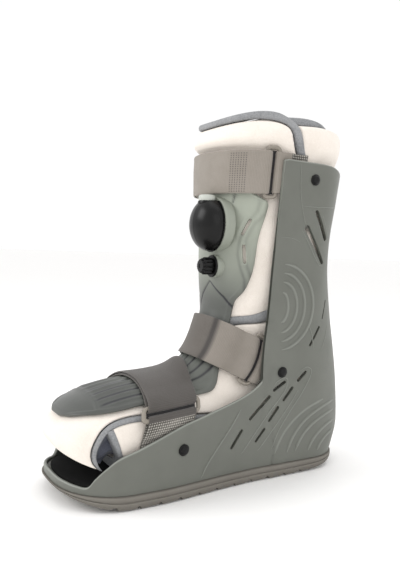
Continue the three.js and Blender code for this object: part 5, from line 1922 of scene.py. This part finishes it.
    def painted_shade(self, along: Grid, across: Grid) -> Grid:
        """Painted shade as a dark share: in the grooves, at the foot of the ridge, beside the ribs and over the part
        over the foot.

        Args:
            along: share along the plate.
            across: share across it.

        Returns:
            Share of the dark colour, as painted shade.
        """
        station, turn = self.coordinates(along, across)
        x, z = self.front_view(along, across)
        lines = [self.vee_shade.at(line_distance(x, z, line)) for line in self.vee]
        lines.append(self.slit_shade.at(line_distance(np.abs(x), z, self.slit)))
        lines.append(self.crease_shade.at(line_distance(np.abs(x), z, self.crease) - self.crease_shade_away))
        ribs = [
            self.foot(station) * self.rib_shade.at(away + self.rib_shade_away) for away in self.rib_distances(turn)
        ]
        return sum(lines) * self.shin(station) + sum(ribs) + self.foot_dark(station)

    def cutter(self, vent: tuple[float, float, float, float], sign: int) -> bpy.types.Object:
        """Slot with round ends through the plate.

        Args:
            vent: station and turn of both ends.
            sign: side of the boot.

        Returns:
            The cutting solid.
        """
        middle = (self.inner + self.outer) / 2
        stations, turns = np.array(vent[::2]), sign * np.array(vent[1::2])
        start, end = (Vector(place) for place in self.sock.over(stations, turns, middle))
        outside = Vector(self.sock.over(stations.mean(), turns.mean(), middle + 4))
        centre = (start + end) / 2
        ahead = (end - start).normalized()
        out = (outside - centre).normalized()
        beside = out.cross(ahead).normalized()
        radius, half = self.vent_radius * MM, (end - start).length / 2
        turn = np.linspace(-math.pi / 2, math.pi / 2, 8)
        loop = [ahead * (half + radius * math.cos(a)) + beside * (radius * math.sin(a)) for a in turn]
        loop += [-ahead * (half + radius * math.cos(a)) - beside * (radius * math.sin(a)) for a in turn]
        points = [centre + place + out * (side * self.vent_reach * MM) for side in (-1, 1) for place in loop]
        count = len(loop)
        faces = [[i, (i + 1) % count, count + (i + 1) % count, count + i] for i in range(count)]
        ends = [list(range(count))[::-1], list(range(count, 2 * count))]
        return loose_solid("vent_cutter", points, [*faces, *ends])

    def build_plate(self) -> bpy.types.Object:
        """Plate body with its relief and vents.

        Returns:
            The plate.
        """
        made = Pillow(
            self.place, self.inner, self.outer, rows=self.rows, columns=self.columns, row_rim=0.004, column_rim=0.014,
            length=330, width=70, puff=self.relief, dark=self.painted_shade,
        ).build("front_plate_moulded", [PLATE], sharp=50)
        carve(made, [self.cutter(vent, sign) for vent in self.vents for sign in (1, -1)])
        made.data.set_sharp_from_angle(angle=math.radians(50))
        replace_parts(made, "front_plate")
        return made

    def build_seats(self) -> None:
        """Round seats of the bulb and of the valve on the plate."""
        for name, r, rise, height in (
            ("bulb_seat", 24.3, 2.5, self.bulb_height), ("valve_seat", 10.4, 0.75, self.knob_height),
        ):
            profile = (
                (0, -7), (r, -7), (r, rise - 1.2), (r - 0.35, rise - 0.45), (r - 1.1, rise), (r - 2.4, rise),
                (r - 2.9, rise - 0.5), (0, rise - 0.5),
            )
            origin = (self.pump_side, self.plate_face, height)
            turned(name, PLATE, profile, origin, FORWARD, segments=72, dark=self.seat_dark, sharp=45)

    def build(self) -> None:
        """Builds the plate and its seats."""
        self.build_plate()
        self.build_seats()


@dataclass
class PumpPart:
    """Hand pump bulb, its cap and the release valve."""

    side: float = 13.0
    bulb_side: float = 14.2
    face: float = 63.56
    radius: float = 21.3
    tall: float = 23.6
    deep: float = 17.0
    stand: float = 3.2
    height: float = 228.6
    flat: float = 249.2
    cap_side: float = 14.6
    cap_fore: float = 70.4
    cap_height: float = 249.3
    knob_fore: float = 63.56
    knob_height: float = 191.75
    knob_radius: float = 7.8
    base_fore: float = 61.95
    flutes: int = 15
    flute_depth: float = 0.11
    flange_share: float = 1.035
    flange_rise: float = 1.5
    seam: Bump = Bump(0.25, 0.5)
    neck_profile: Line = ((0, -4), (8.0, -4), (8.2, -1.6), (7.6, -0.3), (0, -0.3))
    cap_profile: Line = (
        (0, -0.6), (6.8, -0.6), (7.3, -0.1), (7.5, 0.6), (7.5, 3.0), (7.1, 4.2), (6.0, 4.9), (4.0, 5.25), (2.6, 5.3),
        (2.4, 4.8), (0, 4.8),
    )
    base_profile: Line = ((0, 0), (10.0, 0), (10.0, 0.7), (9.5, 1.3), (3.0, 1.4), (3.0, 9.0), (0, 9.0))

    def egg(self, name: str, grow: float, front: float) -> bpy.types.Object:
        """Makes an egg with a flat back and a flat top.

        Args:
            name: piece name.
            grow: share by which it is larger than the bulb.
            front: greatest fore distance.

        Returns:
            The piece.
        """
        polar, around = np.meshgrid(
            np.linspace(0, math.pi, 61), np.linspace(0, 2 * math.pi, 96, endpoint=False), indexing="ij"
        )
        x = self.bulb_side + self.radius * grow * np.sin(polar) * np.cos(around)
        fore = self.face + self.stand + self.deep * grow * np.sin(polar) * np.sin(around)
        z = self.height + self.tall * grow * np.cos(polar)
        seam = self.seam.at(x - self.bulb_side) * np.sin(polar) * np.sin(around).clip(0)
        surface = Surface()
        surface.grid(world(x, np.clip(fore + seam, self.face + 0.2, front), np.minimum(z, self.flat)), loop=True)
        return surface.build(name, [BULB], sharp=60)

    def build_bulb(self) -> None:
        """Rubber bulb with a thin foot flange."""
        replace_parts(self.egg("pump_bulb_rubber", 1.0, math.inf), "pump_bulb")
        self.egg("pump_bulb_flange", self.flange_share, self.face + self.flange_rise)

    def build_cap(self) -> None:
        """Light cap in a black neck on top of the bulb."""
        origin = (self.cap_side, self.cap_fore, self.cap_height)
        turned("pump_cap_neck", BULB, self.neck_profile, origin, UPWARD)
        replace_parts(turned("pump_cap_grey", CAP, self.cap_profile, origin, UPWARD), "bulb_valve")

    def build_valve(self) -> None:
        """Round black base with its stem, and the fluted knob that turns on it."""
        origin = (self.side, self.base_fore, self.knob_height)
        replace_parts(turned("valve_base_and_stem", BLACK, self.base_profile, origin, FORWARD), "valve_stem")
        r = self.knob_radius
        knob = (
            (0, 8), (3.4, 8), (3.4, 0), (r - 1.0, 0), (r - 0.3, 0.4), (r, 1.2), (r, 7.0), (r - 0.4, 7.9),
            (r - 1.3, 8.5), (r - 1.5, 10.2), (r - 2.1, 10.9), (2.0, 11.0), (1.8, 10.5), (0, 10.5),
        )
        origin = (self.side, self.knob_fore, self.knob_height)
        made = turned(
            "release_knob_fluted", BLACK, knob, origin, FORWARD, segments=120, flutes=self.flutes,
            flute=self.flute_depth, body="release_knob",
        )
        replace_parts(made, "release_knob")

    def build(self) -> None:
        """Builds the bulb, its cap and the valve."""
        self.build_bulb()
        self.build_cap()
        self.build_valve()


@dataclass
class StrapPart:
    """One strap with its stitching, its ring and its webbing."""

    form: StrapForm
    sleeve: int
    # Painted shade over the whole strap and its sleeve.
    shade: float = 0.0
    stitches: tuple[float, float] | None = None
    stripe: float | None = None
    layer_shade: float = 0.16
    # Painted shadow: dark share of the strip in the ring's slot.
    slot_shade: float = 0.93
    endings = {"strap": "_folded", "webbing": "_woven"}

    def build_band(self, name: str, finish: Finish, node: str, *shape: object, **looks: object) -> None:
        """Makes one band of the strap's frame.

        Args:
            name: piece name.
            finish: its finish.
            node: CAD node that it stands for, or nothing.
            shape: path, thickness and width of the band.
            looks: shares of dark and of worn colour.
        """
        surface = Surface()
        self.form.band(surface, *shape, **looks)
        made = surface.build(f"{name}_{self.form.name}{self.endings.get(name, '')}", [finish], sharp=60)
        if node:
            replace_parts(made, f"{node}_{self.form.name}")

    def build_strap(self) -> None:
        """Strap round its ring, the return a little lighter than the layer under it."""
        form = self.form
        path, ring = form.strap_path()
        run = path[:, 0]
        # Darker cloth under the return, and the strap's painted shade over all of it.
        under = np.where((np.arange(len(path)) < ring) & (run < run[-1]), self.layer_shade, 0.0) + self.shade
        if self.stripe is not None:
            under += 0.45 * smooth_step(self.stripe + 1, self.stripe - 1, run)
            seam = smooth_step(self.stripe - 6, self.stripe - 5, run)
            under += 0.25 * seam * smooth_step(self.stripe + 1, self.stripe, run)
        self.build_band("strap", STRAP, "strap", path, form.thickness, form.width, dark=under[:, None])

    def build_stitches(self) -> None:
        """Grid of short stitches that holds the return."""
        if self.stitches is None:
            return
        form = self.form
        surface = Surface()
        angle = np.linspace(0, 2 * math.pi, 7)[:-1]
        size = np.array([0.02, 0.8, 1.0])[:, None]
        lift = np.array([0.3, 0.22, 0.0])[:, None]
        for run in np.linspace(*self.stitches, 7):
            out = float(form.lie(np.asarray(run))) + form.thickness * 1.5 + form.gap - 0.12
            for offset in np.arange(-form.width / 2 + 1.6, form.width / 2 - 1, 1.9):
                along, across = 0.55 * size * np.cos(angle), 0.7 * size * np.sin(angle)
                points = form.point(run + along, out + lift + 0 * size * angle, offset + across)
                surface.grid(points, dark=0.55, loop=True, caps=True)
        surface.build(f"stitches_{form.name}", [STRAP])

    def build_ring(self) -> None:
        """Wire ring: a rounded rectangle that lies over the sock."""
        form = self.form
        bar, _, out = form.bar()
        corner = 3.0
        long = form.width / 2 + 1 + form.wire / 2
        quarter = np.radians(np.linspace(0, 90, 9))
        low, high = bar + corner, bar + form.spread - corner
        centres: list[Grid] = []
        for run, offset, start in (
            (high, long - corner, 0), (low, long - corner, 90), (low, corner - long, 180),
            (high, corner - long, 270),
        ):
            angle = quarter + math.radians(start)
            centres.append(np.stack([run + corner * np.cos(angle), offset + corner * np.sin(angle), angle], 1))
            if start in (90, 270):
                side = bar if start == 90 else bar + form.spread
                straight = np.linspace(offset, -offset, 14)[1:-1]
                centres.append(np.stack([np.full(12, side), straight, np.full(12, math.radians(start + 90))], 1))
        path = np.concatenate(centres)
        around = np.linspace(0, 2 * math.pi, 17)[:-1]
        away = form.wire / 2 * signed_power(np.cos(around), 0.8)[None, :]
        lift = form.wire / 2 * signed_power(np.sin(around), 0.8)[None, :]
        run, offset, turn = path.T[:, :, None]
        points = form.point(run + away * np.cos(turn), out + lift + 0 * run, offset + away * np.sin(turn))
        surface = Surface()
        surface.grid(np.concatenate([points, points[:1]]), loop=True)
        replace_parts(surface.build(f"ring_{form.name}_wire", [RING]), f"ring_{form.name}")

    def build_webbing(self) -> None:
        """Webbing round the ring, its smooth sleeve there, and a dark strip of painted shadow in the ring's slot."""
        form = self.form
        path = form.webbing_path()
        self.build_band("webbing", WEBBING, "webbing", path, form.webbing, form.width - 2, wear=0.3)
        sleeve = path[form.rise_steps : form.rise_steps + form.fold_steps + self.sleeve]
        # The sleeve takes the strap's painted shade.
        self.build_band("sleeve", STRAP, "", sleeve, form.webbing + 0.9, form.width - 1.4, dark=self.shade)
        bar, _, out = form.bar()
        run = np.linspace(bar + 3.4, bar + form.spread - 2.3, 5)
        slot = np.stack([run, np.full(5, out - 1.0)], 1)
        # Dark strip under the ring's slot: painted shadow.
        self.build_band("slot", STRAP, "", slot, 0.5, form.width, dark=self.slot_shade)

    def build(self) -> None:
        """Builds the strap, its ring and its webbing."""
        self.build_strap()
        self.build_stitches()
        self.build_ring()
        self.build_webbing()


@dataclass
class Studio:
    """Pale floor, soft light and the camera."""

    camera: tuple[float, float, float] = (0.4972, -0.2956, 0.2038)
    target: tuple[float, float, float] = (0.0, -0.0092, 0.168)
    roll: float = 1.9
    sensor: float = 36.0
    focus_share: float = 630 / 583
    floor_half: float = 40.0
    floor_level: float = -0.0002
    sky_strength: float = 1.01
    lights: tuple[tuple[str, tuple[float, float, float], float, float], ...] = (
        ("key_front", (-0.5, -1.5, 1.1), 0.9, 11),
        ("fill_side", (1.5, -0.2, 0.7), 1.2, 2.5),
        ("top_soft", (0.2, 0.2, 1.7), 1.4, 4),
        ("back_soft", (-0.9, 1.1, 0.8), 1.2, 3),
    )

    def build_light(self, name: str, place: Sequence[float], size: float, power: float) -> None:
        """Adds a soft square light that faces the boot.

        Args:
            name: light name.
            place: where it stands.
            size: side in metres.
            power: strength in watts.
        """
        lamp = bpy.data.lights.new(name, "AREA")
        lamp.size, lamp.energy = size, power
        made = bpy.data.objects.new(name, lamp)
        made.location = place
        made.rotation_euler = (Vector(self.target) - Vector(place)).to_track_quat("-Z", "Y").to_euler()
        bpy.context.scene.collection.objects.link(made)

    def build_floor(self) -> None:
        """Wide pale floor just under the sole."""
        half, level = self.floor_half, self.floor_level
        mesh = bpy.data.meshes.new("studio_floor")
        corners = [(x, y, level) for x, y in ((-half, -half), (half, -half), (half, half), (-half, half))]
        mesh.from_pydata(corners, [], [(0, 1, 2, 3)])
        mesh.materials.append(FLOOR.material())
        floor = bpy.data.objects.new("studio_floor", mesh)
        bpy.context.scene.collection.objects.link(floor)

    def build_sky(self) -> None:
        """Even white light from all round."""
        sky = bpy.data.worlds.new("studio_sky")
        sky.use_nodes = True
        colour, strength = sky.node_tree.nodes["Background"].inputs[:2]
        colour.default_value, strength.default_value = (1, 1, 1, 1), self.sky_strength
        bpy.context.scene.world = sky

    def build_camera(self) -> None:
        """Camera at the photograph's viewing angle."""
        scene = bpy.context.scene
        lens = bpy.data.cameras.new("studio_camera")
        lens.lens, lens.sensor_width, lens.clip_start = self.sensor * self.focus_share, self.sensor, 0.01
        camera = bpy.data.objects.new("studio_camera", lens)
        camera.location = self.camera
        view = (Vector(self.target) - Vector(self.camera)).to_track_quat("-Z", "Y")
        camera.rotation_mode = "QUATERNION"
        camera.rotation_quaternion = view @ Quaternion((0, 0, 1), math.radians(self.roll))
        scene.collection.objects.link(camera)
        scene.camera = camera
        scene.view_settings.view_transform = "Standard"

    def build(self) -> None:
        """Builds floor, lights, sky and camera."""
        self.build_floor()
        self.build_sky()
        for light in self.lights:
            self.build_light(*light)
        self.build_camera()


def main() -> None:
    """Builds every sub-assembly and notes the size of the dressed model."""
    logging.basicConfig(level=logging.INFO, format="%(name)s %(message)s")
    calf = StrapForm("calf", tilt=0, level=274.2, width=36.8, ring=0.66, plate=0.54, lap=1.2, first=1, last=6)
    ankle = StrapForm("ankle", tilt=27, level=82.94, width=39, ring=0.64, plate=0.45, lap=0.35, first=5, last=14)
    toe = StrapForm("toe", tilt=-76, level=131.95, width=45, ring=0.63, plate=0.57, lap=0.9, first=11, last=20.5)
    # shade is painted shade: deep on the toe strap, light on the ankle strap.
    straps = (
        StrapPart(calf, sleeve=5, stitches=(29.5, 41.5)),
        StrapPart(ankle, sleeve=2, shade=0.1, stripe=21.5),
        StrapPart(toe, sleeve=1, shade=0.72),
    )
    parts = (Studio(), ShellPart(), SolePart(), SockPart(), PlatePart(), PumpPart(), *straps)
    for part in parts:
        LOG.info("building %s", type(part).__name__)
        part.build()


if __name__ == "__main__":
    main()
